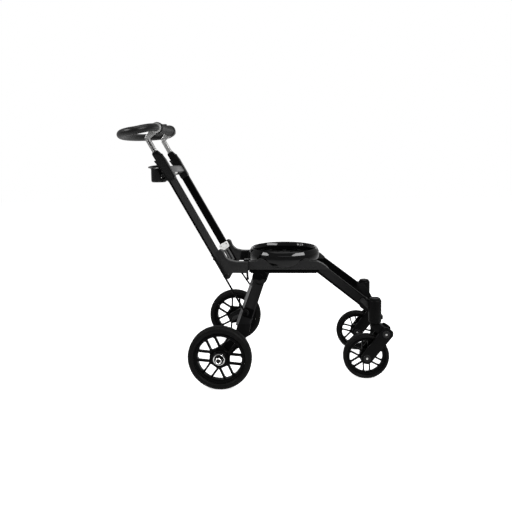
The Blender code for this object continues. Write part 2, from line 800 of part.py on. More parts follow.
def leg_outline(grow=0.0):
    """A handle leg from the side in its own axes, up from the round end at the pivot."""
    d = LEG_DEPTH / 2 + grow
    return [(-d, LEG_LENGTH + grow), *arc((0, 0), d, 180, 360, 8), (d, LEG_LENGTH + grow)]


def leg_prism(grow, inner, outer, side):
    """A handle leg's side outline between two distances off the frame's middle."""
    shape = push(flat(leg_outline(grow)), Vector((0, outer - inner, 0)))
    bmesh.ops.translate(shape, verts=shape.verts, vec=(0, inner - LEG_HALF_SPACING, 0))
    shape = mirrored(shape, side)
    return on_leg(shape, side)


def make_elbow(label, side, group, look):
    """Carries the pivot in an outer cheek, and backs the leg with a saddle in front of it."""
    shape = side_prism(elbow_outline(), LEG_INNER, CHEEK_OUTER, side)
    piece = finish(f"elbow_{label}", shape, group, look["satin"])
    room = leg_prism(RUNNING_GAP, LEG_INNER - 0.01, CHEEK_INNER, side)
    bore = FOLD_PIN_RADIUS + SEAT_GAP
    hole = cross_rod(PIVOT_X, PIVOT_Z, CHEEK_INNER - 0.01, CHEEK_OUTER + 0.01, bore, side)
    combine(piece, [room, hole], group)


def make_fold_pin(label, side, group, look):
    """A headed pin that a handle leg turns on."""
    radius, head = FOLD_PIN_RADIUS, FOLD_PIN_RADIUS * 1.9
    near, face = LEG_INNER - 0.004, CHEEK_OUTER + SEAT_GAP
    profile = [(0, near), (radius, near), (radius, face), (head, face), (head * 0.85, face + PIN_HEAD)]
    pin = turned([*profile, (0, face + PIN_HEAD)], 16)
    bmesh.ops.translate(pin, verts=pin.verts, vec=(PIVOT_X, 0, PIVOT_Z))
    finish(f"fold_pin_{label}", mirrored(pin, side), group, look["steel"])


def add_to(shape, part):
    """Adds one bmesh to another as a body of its own."""
    held = bpy.data.meshes.new("held")
    part.to_mesh(held)
    part.free()
    shape.from_mesh(held)
    bpy.data.meshes.remove(held)


def make_handle_leg(label, side, group, look):
    """The outer tube of the handle: round end on the pivot, bore for the strut, lug for the link rod."""
    w = LEG_WIDTH / 2
    shape = push(flat(leg_outline()), Vector((0, LEG_WIDTH, 0)))
    bmesh.ops.translate(shape, verts=shape.verts, vec=(0, -w, 0))
    tall = [e for e in shape.edges if abs(e.verts[0].co.z - e.verts[1].co.z) > LEG_LENGTH / 2]
    bmesh.ops.bevel(
        shape, geom=tall, offset=LEG_CORNER, offset_type="OFFSET", segments=2, profile=0.5, affect="EDGES",
        material=-1, clamp_overlap=True,
    )
    on_leg(shape, side)
    piece = finish(f"handle_leg_{label}", shape, group, look["satin"])
    stud = rod(
        (-ROD_LUG_BACK, LEG_WIDTH / 2 - 0.003, ROD_LUG_AT),
        (-ROD_LUG_BACK, LEG_WIDTH / 2 + ROD_EYE_WIDTH + SEAT_GAP, ROD_LUG_AT),
        ROD_PIN_RADIUS,
        10,
    )
    combine(piece, [on_leg(mirrored(stud, side), side)], group, "UNION")
    bore_low = LEG_LENGTH - STRUT_INSIDE - STRUT_TRAVEL_IN - 0.004
    bore = box_section(
        STRUT_DEPTH + 2 * SEAT_GAP, STRUT_WIDTH + 2 * SEAT_GAP, 0.004, LEG_LENGTH - bore_low + 0.01, bore_low
    )
    bmesh.ops.translate(bore, verts=bore.verts, vec=(-STRUT_SETBACK, 0, 0))
    pin_hole = cross_rod(
        PIVOT_X, PIVOT_Z, LEG_INNER - 0.01, LEG_OUTER + 0.01, FOLD_PIN_RADIUS + RUNNING_GAP, side
    )
    combine(piece, [on_leg(bore, side), pin_hole], group)


def make_sleeve(label, side, group, look):
    """The moulded sleeve over a handle leg's top, with a rounded shoulder in front."""
    d, top = SLEEVE_DEPTH / 2, LEG_LENGTH + SLEEVE_CAP
    shoulder = [
        (d, top - SHOULDER_DROP),
        (d - 0.0035, top - SHOULDER_DROP * 0.6),
        (d - 0.0075, top - SHOULDER_DROP * 0.26),
        (STRUT_DEPTH / 2 - STRUT_SETBACK + 0.002, top),
    ]
    outline = [(-d, SLEEVE_START), (d, SLEEVE_START), *shoulder, (-d, top)]
    shape = push(flat(outline), Vector((0, SLEEVE_WIDTH, 0)))
    bmesh.ops.translate(shape, verts=shape.verts, vec=(0, -SLEEVE_WIDTH / 2, 0))
    chamfer(shape, 0.003, not_across=True)
    piece = finish(f"leg_sleeve_{label}", on_leg(shape, side), group, look["matte"])
    cavity = box_section(
        LEG_DEPTH + 2 * SEAT_GAP, LEG_WIDTH + 2 * SEAT_GAP, LEG_CORNER,
        LEG_LENGTH + SEAT_GAP - SLEEVE_START + 0.01, SLEEVE_START - 0.01,
    )
    slot = box_section(
        STRUT_DEPTH + 4 * SEAT_GAP, STRUT_WIDTH + 4 * SEAT_GAP, 0.004, SLEEVE_CAP + 0.03, LEG_LENGTH - 0.01
    )
    bmesh.ops.translate(slot, verts=slot.verts, vec=(-STRUT_SETBACK, 0, 0))
    combine(piece, [on_leg(cavity, side), on_leg(slot, side)], group)


def make_crossbar(group, look):
    """The bar between the sleeves."""
    low, high, d = CROSSBAR_AT - CROSSBAR_HEIGHT / 2, CROSSBAR_AT + CROSSBAR_HEIGHT / 2, CROSSBAR_DEPTH / 2
    reach = SLEEVE_INNER - SEAT_GAP
    outline = [(-d, low), (d, low), (d, high - 0.010), (d - 0.008, high), (-d, high)]
    places = [leg_point(x + CROSSBAR_FORWARD, z) for x, z in outline]
    shape = side_prism([(place.x, place.z) for place in places], -reach, reach)
    chamfer(shape, 0.002, long_way=1)
    finish("leg_crossbar", shape, group, look["grey"])


def make_cup_holder(group, look):
    """A round cup with a flared lip, on an arm to the right sleeve's inner face."""
    low, high = CUP_FLOOR_Z, CUP_FLOOR_Z + CUP_HEIGHT
    r, wall = CUP_RADIUS, CUP_WALL
    profile = [
        (0, low),
        (r - 0.006, low),
        (r, low + 0.006),
        (r, high - 0.006),
        (r + CUP_LIP, high - 0.002),
        (r + CUP_LIP, high),
        (0, high),
    ]
    cup = turned(profile, 24, "Z")
    across = SLEEVE_INNER - r - 0.008
    bmesh.ops.translate(cup, verts=cup.verts, vec=(CUP_X, -across, 0))
    piece = finish("cup_holder", cup, group, look["matte"])
    back = -SLEEVE_DEPTH / 2 + 0.001
    corners = [
        leg_point(back - CUP_ARM_REACH, SLEEVE_START + 0.006),
        leg_point(back + CUP_ARM_WIDTH, SLEEVE_START + 0.006),
        leg_point(back + CUP_ARM_WIDTH, SLEEVE_START + 0.038),
        leg_point(back - CUP_ARM_REACH, SLEEVE_START + 0.038),
    ]
    arm = side_prism([(p.x, p.z) for p in corners], across + r * 0.30, SLEEVE_INNER - SEAT_GAP, -1)
    hollow = turned(
        [(0, low + wall), (r - wall - 0.004, low + wall), (r - wall, low + wall + 0.004),
         (r - wall, high + 0.03), (0, high + 0.03)],
        24, "Z",
    )
    bmesh.ops.translate(hollow, verts=hollow.verts, vec=(CUP_X, -across, 0))
    combine(piece, [arm], group, "UNION")
    combine(piece, [hollow], group)


def make_latch(label, side, group, look):
    """A bright latch plate on the inner face of a leg, with a bar down to the pivot."""
    b = LATCH_BAR_WIDTH / 2
    outline = [
        (-b, LATCH_BAR_LOW), (b, LATCH_BAR_LOW), (b, LATCH_LOW), (LATCH_FRONT - 0.004, LATCH_LOW),
        (LATCH_FRONT, LATCH_LOW + 0.006), (LATCH_FRONT, LATCH_HIGH), (-LATCH_BACK, LATCH_HIGH),
        (-LATCH_BACK + 0.006, LATCH_LOW), (-b, LATCH_LOW),
    ]
    plate = push(flat(outline), Vector((0, LATCH_THICK, 0)))
    bmesh.ops.translate(plate, verts=plate.verts, vec=(0, -LEG_WIDTH / 2 - SEAT_GAP - LATCH_THICK, 0))
    finish(f"leg_latch_{label}", on_leg(mirrored(plate, side), side), group, look["silver"])


def make_adjust_lever(label, side, group, look):
    """A thin lever behind a sleeve, held at its lower end and free to be squeezed in at its tip."""
    face = -SLEEVE_DEPTH / 2 - SEAT_GAP
    tip = ADJUST_AT + ADJUST_LENGTH
    outline = [
        (face, ADJUST_AT),
        (face - ADJUST_TIP_GAP, tip - 0.006),
        (face - ADJUST_TIP_GAP, tip),
        (face - ADJUST_TIP_GAP - ADJUST_THICK - 0.002, tip - 0.001),
        (face - ADJUST_TIP_GAP - ADJUST_THICK, tip - 0.009),
        (face - ADJUST_THICK, ADJUST_AT),
    ]
    shape = push(flat(outline), Vector((0, ADJUST_WIDTH, 0)))
    bmesh.ops.translate(shape, verts=shape.verts, vec=(0, -ADJUST_WIDTH / 2, 0))
    finish(f"adjust_lever_{label}", on_leg(shape, side), group, look["matte"])


def make_strut(label, side, group, look):
    """The bright inner tube, with a neck that leans forward to the grip bar."""
    straight = box_section(STRUT_DEPTH, STRUT_WIDTH, 0.0035, GRIP_NECK_AT + STRUT_INSIDE - LEG_LENGTH,
                           LEG_LENGTH - STRUT_INSIDE)
    bmesh.ops.translate(straight, verts=straight.verts, vec=(-STRUT_SETBACK, 0, 0))
    piece = finish(f"strut_{label}", on_leg(straight, side), group, look["silver"])
    rear = leg_point(-STRUT_SETBACK - STRUT_DEPTH / 2, GRIP_NECK_AT)
    front = leg_point(-STRUT_SETBACK + STRUT_DEPTH / 2, GRIP_NECK_AT - NECK_STEP)
    top_rear = Vector((GRIP_BAR_X - NECK_BACK, 0, GRIP_BAR_Z))
    top_front = Vector((GRIP_BAR_X + NECK_FRONT, 0, GRIP_BAR_Z - NECK_DROP))
    outline = [(place.x, place.z) for place in (rear, front, top_front, top_rear)]
    half = STRUT_WIDTH / 2 - 0.0004
    neck = side_prism(outline, LEG_HALF_SPACING - half, LEG_HALF_SPACING + half, side)
    near, far = LEG_HALF_SPACING - COLLAR_WIDTH / 2, LEG_HALF_SPACING + COLLAR_WIDTH / 2
    collar = cross_rod(GRIP_BAR_X, GRIP_BAR_Z, near, far, COLLAR_RADIUS, side, 24)
    combine(piece, [neck, collar], group, "UNION")


def grip_height(x):
    """How high the loop's middle line is away from the collars, at a place along the stroller."""
    return GRIP_BAR_Z - GRIP_DIP + (x - GRIP_BAR_X) * GRIP_SLOPE


def loop_path():
    """The loop's middle line: out from a collar, down and round the side, and across the rear."""
    start = LEG_HALF_SPACING + COLLAR_WIDTH / 2 + SEAT_GAP
    corner_steps, rear_steps = 9, 24
    front_reach = GRIP_BAR_X - GRIP_WAIST_X
    side_reach = GRIP_HALF_WIDTH - start
    rear_reach = GRIP_REAR - GRIP_RADIUS + GRIP_WAIST_X
    corner = []
    for step in range(corner_steps + 1):
        done = step / corner_steps
        turn = math.pi / 2 * done
        x = GRIP_WAIST_X + front_reach * math.cos(turn)
        eased = min(1, done / GRIP_DIP_END)
        eased = eased * eased * (3 - 2 * eased)
        height = GRIP_BAR_Z * (1 - eased) + grip_height(x) * eased
        corner.append(Vector((x, start + side_reach * math.sin(turn), height)))
    sweep_round = []
    for step in range(1, rear_steps):
        turn = math.pi * step / rear_steps
        cosine, sine = math.cos(turn), math.sin(turn)
        power = 2 / GRIP_SQUARENESS
        across = math.copysign(abs(cosine) ** power, cosine)
        x = GRIP_WAIST_X - rear_reach * sine**power
        sweep_round.append(Vector((x, GRIP_HALF_WIDTH * across, grip_height(x))))
    other = [Vector((place.x, -place.y, place.z)) for place in reversed(corner)]
    return corner + sweep_round + other


def make_loop(group, look):
    """The padded loop of the grip, from one collar round to the other."""
    path = loop_path()
    sides = 10
    stations = []
    for number, place in enumerate(path):
        ahead = path[min(number + 1, len(path) - 1)] - path[max(number - 1, 0)]
        if number in (0, len(path) - 1):
            ahead = Vector((0, 1, 0))
        ahead.normalize()
        out = ahead.cross(Vector((0, 0, 1))).normalized()
        up = out.cross(ahead).normalized()
        turns = [math.tau * step / sides for step in range(sides)]
        stations.append([place + (out * math.cos(t) + up * math.sin(t)) * GRIP_RADIUS for t in turns])
    finish("grip_loop", sweep(stations), group, look["leather"])


def make_grip_bar(group, look):
    """The bar across the front of the grip, with a wide band at each end."""
    far = LEG_HALF_SPACING - COLLAR_WIDTH / 2 - SEAT_GAP
    near = far - BAND_WIDTH
    r = BAND_RADIUS
    half = [(GRIP_BAR_RADIUS, near), (r - 0.003, near), (r, near + 0.003), (r, far - 0.003), (r - 0.003, far)]
    other = [(radius, -across) for radius, across in reversed(half)]
    bar = turned([(0, -far), *other, *half, (0, far)], 24)
    bmesh.ops.translate(bar, verts=bar.verts, vec=(GRIP_BAR_X, 0, GRIP_BAR_Z))
    finish("grip_bar", bar, group, look["plastic"])


def make_knuckle(label, side, group, look):
    """The rounded bracket under a beam that the rear leg hinges on."""
    r = KNUCKLE_RADIUS
    top = BEAM_LOW - SEAT_GAP
    reach = math.degrees(math.asin((top - KNUCKLE_Z) / r))
    outline = [*arc((KNUCKLE_X, KNUCKLE_Z), r, 180 - reach, 342, 12), (KNUCKLE_X + KNUCKLE_REACH, top)]
    near = BEAM_OUTER - KNUCKLE_WIDTH
    shape = side_prism(outline, near, BEAM_OUTER - 0.001, side)
    piece = finish(f"rear_knuckle_{label}", shape, group, look["gloss"])
    pin_end = near - SEAT_GAP - EAR_THICK - 0.002
    pin = cross_rod(KNUCKLE_X, KNUCKLE_Z, pin_end, near + 0.01, REAR_PIN_RADIUS, side)
    combine(piece, [pin], group, "UNION")


def rear_leg_line(z):
    """The rear leg's middle line from the side, at one height."""
    top = Vector((KNUCKLE_X - 0.003, 0, KNUCKLE_Z - KNUCKLE_RADIUS + 0.010))
    foot = Vector((REAR_LEG_SEAM_X, 0, REAR_LEG_SEAM_Z))
    return top.x + (foot.x - top.x) * (z - top.z) / (foot.z - top.z)


def rear_leg_half():
    """Half of the rear leg's width, measured level."""
    top = KNUCKLE_Z - KNUCKLE_RADIUS + 0.010
    slope = (KNUCKLE_X - 0.003 - REAR_LEG_SEAM_X) / (top - REAR_LEG_SEAM_Z)
    return REAR_LEG_DEPTH / 2 * math.hypot(1, slope)


def make_rear_leg(label, side, group, look):
    """The splayed leg: hollowed round the knuckle, with an inner ear and a pad for the link rod."""
    half = rear_leg_half()
    top_z = KNUCKLE_Z - 0.014
    low_z = REAR_LEG_SEAM_Z
    outline = [
        (rear_leg_line(low_z) - half, low_z),
        (rear_leg_line(low_z) + half, low_z),
        (rear_leg_line(top_z) + half - 0.004, top_z),
        (rear_leg_line(top_z) - half, top_z),
    ]
    shape = push(flat(outline), Vector((0, REAR_LEG_THICK, 0)))
    bmesh.ops.translate(shape, verts=shape.verts, vec=(0, -REAR_LEG_THICK / 2, 0))
    chamfer(shape, REAR_LEG_EDGE, long_way=2)
    splayed(shape, side)
    piece = finish(f"rear_leg_{label}", shape, group, look["satin"])
    ear_near = BEAM_OUTER - KNUCKLE_WIDTH - SEAT_GAP - EAR_THICK
    ear_far = ear_near + EAR_THICK
    neck_z = KNUCKLE_Z - KNUCKLE_RADIUS - 0.020
    ear = side_prism(
        [
            *arc((KNUCKLE_X, KNUCKLE_Z), EAR_RADIUS, 0, 180, 8),
            (rear_leg_line(neck_z) - half * 0.6, neck_z),
            (rear_leg_line(neck_z) + half * 0.6, neck_z),
        ],
        ear_near, ear_far, side,
    )
    bridge_low, bridge_high = neck_z - 0.004, KNUCKLE_Z - KNUCKLE_RADIUS - 0.003
    bridge = side_prism(
        [
            (rear_leg_line(bridge_low) - half * 0.6, bridge_low),
            (rear_leg_line(bridge_low) + half * 0.6, bridge_low),
            (rear_leg_line(bridge_high) + half * 0.5, bridge_high),
            (rear_leg_line(bridge_high) - half * 0.5, bridge_high),
        ],
        ear_near + 0.001, BEAM_OUTER - REAR_LEG_THICK / 2, side,
    )
    pad_face = pad_across() - SEAT_GAP
    pad = cross_rod(ROD_FOOT_X, ROD_FOOT_Z, pad_face - 0.014, pad_face, ROD_PAD_RADIUS, side, 20)
    combine(piece, [ear, bridge, pad], group, "UNION")
    hollow = cross_rod(
        KNUCKLE_X, KNUCKLE_Z, BEAM_OUTER - KNUCKLE_WIDTH - SEAT_GAP, BEAM_OUTER + 0.05,
        KNUCKLE_RADIUS + RUNNING_GAP, side, 48,
    )
    bore = REAR_PIN_RADIUS + RUNNING_GAP
    hole = cross_rod(KNUCKLE_X, KNUCKLE_Z, ear_near - 0.01, ear_far + 0.01, bore, side)
    combine(piece, [hollow, hole], group)


def pad_across():
    """How far off the middle the link rod's lower eye lies, just outside the splayed leg."""
    return splay_at(ROD_FOOT_Z - ROD_PAD_RADIUS) + REAR_LEG_THICK / 2 + SEAT_GAP


def make_axle_block(label, side, group, look):
    """The casting on a rear leg's foot that holds the axle and the cross tube."""
    half = rear_leg_half()
    top = REAR_LEG_SEAM_Z - SEAT_GAP
    boss = arc((0, REAR_RADIUS), AXLE_BOSS_RADIUS, 120, 330, 12)
    outline = [
        (rear_leg_line(top) - half, top),
        (rear_leg_line(top) - half - 0.012, top - 0.045),
        *boss,
        (rear_leg_line(top) - 0.008, REAR_RADIUS + 0.032),
        (rear_leg_line(top) + half - 0.006, top - 0.030),
        (rear_leg_line(top) + half, top),
    ]
    shape = push(flat(outline), Vector((0, AXLE_ARM_THICK, 0)))
    bmesh.ops.translate(shape, verts=shape.verts, vec=(0, -AXLE_ARM_THICK / 2, 0))
    splayed(shape, side)
    piece = finish(f"axle_block_{label}", shape, group, look["matte"])
    face = REAR_HALF_TRACK - REAR_HUB_WIDTH / 2 - RUNNING_GAP
    boss_body = cross_rod(0, REAR_RADIUS, face - 0.030, face, AXLE_BOSS_RADIUS, side, 24)
    near = cross_tube_reach() + SEAT_GAP
    socket = cross_rod(CROSS_TUBE_X, CROSS_TUBE_Z, near, near + CROSS_BOSS_LENGTH, CROSS_BOSS_RADIUS, side, 20)
    combine(piece, [boss_body, socket], group, "UNION")
    beyond = block((-0.2, face, 0), (0.3, face + 0.1, REAR_LEG_SEAM_Z), side)
    combine(piece, [beyond], group)
    end = REAR_HALF_TRACK + REAR_HUB_WIDTH / 2 - 0.0005
    combine(piece, [cross_rod(0, REAR_RADIUS, face - 0.012, end, REAR_AXLE_RADIUS, side)], group, "UNION")


def cross_tube_reach():
    """How far the cross tube goes before it meets the castings' bosses."""
    return splay_at(CROSS_TUBE_Z + CROSS_BOSS_RADIUS) - AXLE_ARM_THICK / 2 - CROSS_BOSS_STAND


def make_cross_tube(group, look):
    """The tube between the rear castings."""
    reach = cross_tube_reach()
    tube = cross_rod(CROSS_TUBE_X, CROSS_TUBE_Z, -reach, reach, CROSS_TUBE_RADIUS, 1, 20)
    finish("rear_cross_tube", tube, group, look["satin"])


def make_brake_pedal(group, look):
    """A foot pedal whose clip turns on the cross tube."""
    ring = CROSS_TUBE_RADIUS + 0.005
    half = PEDAL_WIDTH / 2
    droop = math.radians(PEDAL_DROOP)
    back = Vector((-math.cos(droop), 0, -math.sin(droop)))
    up = Vector((-math.sin(droop), 0, math.cos(droop)))
    centre = Vector((CROSS_TUBE_X, 0, CROSS_TUBE_Z))
    places = [
        centre + up * ring * 0.75,
        centre + back * PEDAL_LENGTH + up * PEDAL_THICK * 0.5,
        centre + back * (PEDAL_LENGTH + 0.004),
        centre + back * PEDAL_LENGTH - up * PEDAL_THICK * 0.5,
        centre - up * ring * 0.75,
    ]
    shape = side_prism([(place.x, place.z) for place in places], -half, half)
    chamfer(shape, 0.002)
    piece = finish("brake_pedal", shape, group, look["plastic"])
    shell = cross_rod(CROSS_TUBE_X, CROSS_TUBE_Z, -half * 0.8, half * 0.8, ring, 1, 24)
    hole = CROSS_TUBE_RADIUS + RUNNING_GAP
    bore = cross_rod(CROSS_TUBE_X, CROSS_TUBE_Z, -half - 0.01, half + 0.01, hole, 1, 24)
    combine(piece, [shell], group, "UNION")
    combine(piece, [bore], group)


def rod_ends():
    """The ends of a link rod's middle line, on the left side."""
    top = leg_point(-ROD_LUG_BACK, ROD_LUG_AT, LEG_OUTER + SEAT_GAP + ROD_EYE_WIDTH / 2)
    foot = Vector((ROD_FOOT_X, pad_across() + ROD_FOOT_STAND, ROD_FOOT_Z))
    return top, foot


def make_link_rod(label, side, group, look):
    """A thin rod with an eye on the handle leg's stud and a flat foot against the rear leg's pad."""
    top, foot = rod_ends()
    inset = (foot - top).normalized() * (ROD_EYE_RADIUS * 0.6)
    bar = rod(top + inset, foot - inset * 0.3, ROD_RADIUS, 10)
    piece = finish(f"link_rod_{label}", mirrored(bar, side), group, look["satin"])
    half = ROD_EYE_WIDTH / 2
    eye = cross_rod(top.x, top.z, top.y - half, top.y + half, ROD_EYE_RADIUS, side, 16)
    pad = cross_rod(foot.x, foot.z, pad_across(), pad_across() + ROD_FOOT_WIDTH, ROD_EYE_RADIUS, side, 16)
    combine(piece, [eye, pad], group, "UNION")
    hole = cross_rod(top.x, top.z, top.y - 0.01, top.y + 0.01, ROD_PIN_RADIUS + RUNNING_GAP, side, 12)
    combine(piece, [hole], group)


def make_housing(label, side, group, look):
    """A caster's upright housing with a domed top, and the socket that takes the front leg's end."""
    across = side * FRONT_HALF_TRACK
    r, dome = HOUSING_RADIUS, HOUSING_DOME
    profile = [
        (0, HOUSING_LOW),
        (r * 0.88, HOUSING_LOW),
        (r, HOUSING_LOW + 0.004),
        (r, HOUSING_TOP - dome),
        (r * 0.9, HOUSING_TOP - dome * 0.35),
        (r * 0.6, HOUSING_TOP),
        (0, HOUSING_TOP),
    ]
    shape = turned(profile, 28, "Z")
    bmesh.ops.translate(shape, verts=shape.verts, vec=(SWIVEL_X, across, 0))
    piece = finish(f"caster_housing_{label}", shape, group, look["matte"])
    start, along, up, length = front_leg_run()
    leg_middle = BEAM_MIDDLE + FRONT_LEG_TOE
    half = BEAM_WIDTH / 2 - FRONT_LEG_WALL_IN + SOCKET_WALL
    rear = start + along * (length - SOCKET_LENGTH * 0.45)
    front = start + along * (length + 0.024)
    wall = SOCKET_WALL
    outline = [rear - up * wall, front - up * wall * 0.2, front + up * (FRONT_LEG_DEPTH * 0.9),
               rear + up * (FRONT_LEG_DEPTH + wall)]
    socket = side_prism([(p.x, p.z) for p in outline], leg_middle - half, leg_middle + half, side)
    combine(piece, [socket], group, "UNION")
    room = [
        front_leg_section(1, start + along * reach, up, FRONT_LEG_DEPTH, leg_middle - FRONT_LEG_TOE * back)
        for reach, back in ((length - SOCKET_LENGTH, SOCKET_LENGTH / length), (length + SEAT_GAP, 0))
    ]
    cavity = sweep(room)
    grown = bmesh.new()
    add_to(grown, cavity)
    grown.normal_update()
    for vert in grown.verts:
        vert.co += vert.normal * SEAT_GAP * 2.2
    pin_hole = rod(
        (SWIVEL_X, FRONT_HALF_TRACK, HOUSING_LOW - 0.01),
        (SWIVEL_X, FRONT_HALF_TRACK, HOUSING_LOW + SWIVEL_PIN_LENGTH + 0.002),
        SWIVEL_PIN_RADIUS + RUNNING_GAP,
        16,
    )
    combine(piece, [mirrored(grown, side), mirrored(pin_hole, side)], group)


def make_stem(label, side, group, look):
    """The swivelling stem: a pin up into the housing, a collar, and a knuckle forward to the knee."""
    across = side * FRONT_HALF_TRACK
    low = HOUSING_LOW - RUNNING_GAP - STEM_COLLAR_HEIGHT
    high = HOUSING_LOW - RUNNING_GAP
    profile = [
        (0, low), (STEM_COLLAR_RADIUS, low), (STEM_COLLAR_RADIUS, high), (SWIVEL_PIN_RADIUS, high),
        (SWIVEL_PIN_RADIUS, HOUSING_LOW + SWIVEL_PIN_LENGTH), (0, HOUSING_LOW + SWIVEL_PIN_LENGTH),
    ]
    shape = turned(profile, 20, "Z")
    bmesh.ops.translate(shape, verts=shape.verts, vec=(SWIVEL_X, across, 0))
    piece = finish(f"caster_stem_{label}", shape, group, look["matte"])
    half = FORK_GAP - RUNNING_GAP
    outline = [
        (SWIVEL_X - STEM_COLLAR_RADIUS + 0.002, low + 0.006),
        (SWIVEL_X - STEM_COLLAR_RADIUS + 0.008, low - 0.010),
        *arc((KNEE_X, KNEE_Z), KNEE_ROUND, 215, 395, 8),
        (SWIVEL_X + STEM_COLLAR_RADIUS, high - 0.004),
        (SWIVEL_X, high - 0.006),
    ]
    knuckle = side_prism(outline, FRONT_HALF_TRACK - half, FRONT_HALF_TRACK + half, side)
    pin = cross_rod(
        KNEE_X, KNEE_Z, FRONT_HALF_TRACK - FORK_GAP - FORK_THICK - 0.001,
        FRONT_HALF_TRACK + FORK_GAP + FORK_THICK + 0.001,
        KNEE_PIN_RADIUS, side, 12,
    )
    combine(piece, [knuckle, pin], group, "UNION")


def fork_outline():
    """One arm of the fork from the side, from the broad knee to the rounded foot round the axle."""
    knee, axle = Vector((KNEE_X, 0, KNEE_Z)), Vector((WHEELBASE, 0, FRONT_RADIUS))
    along = (axle - knee).normalized()
    front = Vector((-along.z, 0, along.x))
    w = FORK_HALF_WIDTH
    foot = [axle + (along * math.sin(t) + front * math.cos(t)) * FORK_FOOT_RADIUS
            for t in (math.pi * step / 8 for step in range(9))]
    top = [
        knee - front * w * 0.94 - along * w * 0.35,
        knee - front * w * 0.55 - along * w * 0.98,
        knee + front * w * 0.15 - along * w * 1.05,
        knee + front * w * 0.72 - along * w * 0.82,
        knee + front * w * 1.02 - along * w * 0.30,
        knee + front * w * 0.98 + along * w * 0.50,
    ]
    return [(place.x, place.z) for place in foot + top]


def make_fork(label, side, group, look):
    """Two flat arms joined by a bridge above the wheel, sprung about the knee."""
    near = FRONT_HALF_TRACK - FORK_GAP - FORK_THICK
    shape = side_prism(fork_outline(), near, near + FORK_THICK, side)
    piece = finish(f"caster_arm_{label}", shape, group, look["matte"])
    cheek = FRONT_HALF_TRACK + FORK_GAP
    other = side_prism(fork_outline(), cheek, cheek + FORK_THICK, side)
    knee, axle = Vector((KNEE_X, 0, KNEE_Z)), Vector((WHEELBASE, 0, FRONT_RADIUS))
    along = (axle - knee).normalized()
    front = Vector((-along.z, 0, along.x))
    corners = [
        knee + along * FORK_BRIDGE_NEAR - front * 0.012,
        knee + along * FORK_BRIDGE_NEAR + front * 0.014,
        knee + along * FORK_BRIDGE_FAR + front * 0.014,
        knee + along * FORK_BRIDGE_FAR - front * 0.012,
    ]
    bridge = side_prism(
        [(p.x, p.z) for p in corners], FRONT_HALF_TRACK - FORK_GAP - 0.002, cheek + 0.002, side
    )
    end = FORK_GAP + FORK_THICK + 0.0015
    near, far = FRONT_HALF_TRACK - end, FRONT_HALF_TRACK + end
    bolt = cross_rod(WHEELBASE, FRONT_RADIUS, near, far, FRONT_AXLE_RADIUS, side, 12)
    combine(piece, [bridge, other, bolt], group, "UNION")
    reach = FORK_GAP + FORK_THICK + 0.01
    knee_hole = cross_rod(
        KNEE_X, KNEE_Z, FRONT_HALF_TRACK - reach, FRONT_HALF_TRACK + reach, KNEE_PIN_RADIUS + RUNNING_GAP,
        side, 12,
    )
    combine(piece, [knee_hole], group)


def make_swivel_lock(label, side, group, look):
    """A small slider on the front of the housing that stops the caster turning."""
    face = SWIVEL_X + HOUSING_RADIUS + SEAT_GAP
    across = FRONT_HALF_TRACK
    half = LOCK_WIDTH / 2
    shape = side_prism(
        [
            (face, LOCK_Z), (face + LOCK_DEPTH, LOCK_Z + 0.003),
            (face + LOCK_DEPTH, LOCK_Z + LOCK_HEIGHT - 0.006),
            (face, LOCK_Z + LOCK_HEIGHT),
        ],
        across - half, across + half, side,
    )
    finish(f"swivel_lock_{label}", shape, group, look["plastic"])


def make_brace(group, look):
    """The brace between the caster housings."""
    reach = FRONT_HALF_TRACK - HOUSING_RADIUS * 0.95
    x, z = BRACE_FRONT, BRACE_TOP
    outline = [
        (x - BRACE_LENGTH, z - BRACE_HEIGHT * 0.75),
        (x - BRACE_LENGTH * 0.5, z - BRACE_HEIGHT),
        (x, z - BRACE_HEIGHT * 0.8),
        (x, z - 0.002),
        (x - 0.004, z),
        (x - BRACE_LENGTH * 0.8, z - 0.001),
    ]
    shape = side_prism(outline, -reach, reach)
    piece = finish("front_brace", shape, group, look["satin"])
    cutters = []
    for side in SIDES.values():
        room = turned([(0, HOUSING_LOW - 0.01), (HOUSING_RADIUS + SEAT_GAP * 2, HOUSING_LOW - 0.01),
                       (HOUSING_RADIUS + SEAT_GAP * 2, HOUSING_TOP + 0.01), (0, HOUSING_TOP + 0.01)], 28, "Z")
        bmesh.ops.translate(room, verts=room.verts, vec=(SWIVEL_X, side * FRONT_HALF_TRACK, 0))
        cutters.append(room)
        start, along, up, length = front_leg_run()
        half = BEAM_WIDTH / 2 - FRONT_LEG_WALL_IN + SOCKET_WALL + SEAT_GAP
        middle = BEAM_MIDDLE + FRONT_LEG_TOE
        rear = start + along * (length - SOCKET_LENGTH)
        front = start + along * (length + 0.024)
        outline = [rear - up * 0.02, front - up * 0.02, front + up * 0.08, rear + up * 0.08]
        cutters.append(side_prism([(p.x, p.z) for p in outline], middle - half, middle + half + 0.05, side))
    combine(piece, cutters, group)


def make_clamp(label, side, group, look):
    """A clamp over a beam behind the hub."""
    t, inner = CLAMP_THICK, BEAM_INNER - SEAT_GAP
    low, top = BEAM_LOW + 0.002, BEAM_TOP + SEAT_GAP
    reach = BEAM_INNER + BEAM_WIDTH * 0.6
    section = [
        (inner, low), (inner, top), (reach, top), (reach, top + t * 0.6), (inner - t, top + t * 0.6),
        (inner - t, low),
    ]
    shape = bmesh.new()
    shape.faces.new([shape.verts.new((CLAMP_X, y, z)) for y, z in section])
    push(shape, Vector((CLAMP_LENGTH, 0, 0)))
    finish(f"hub_clamp_{label}", mirrored(shape, side), group, look["satin"])


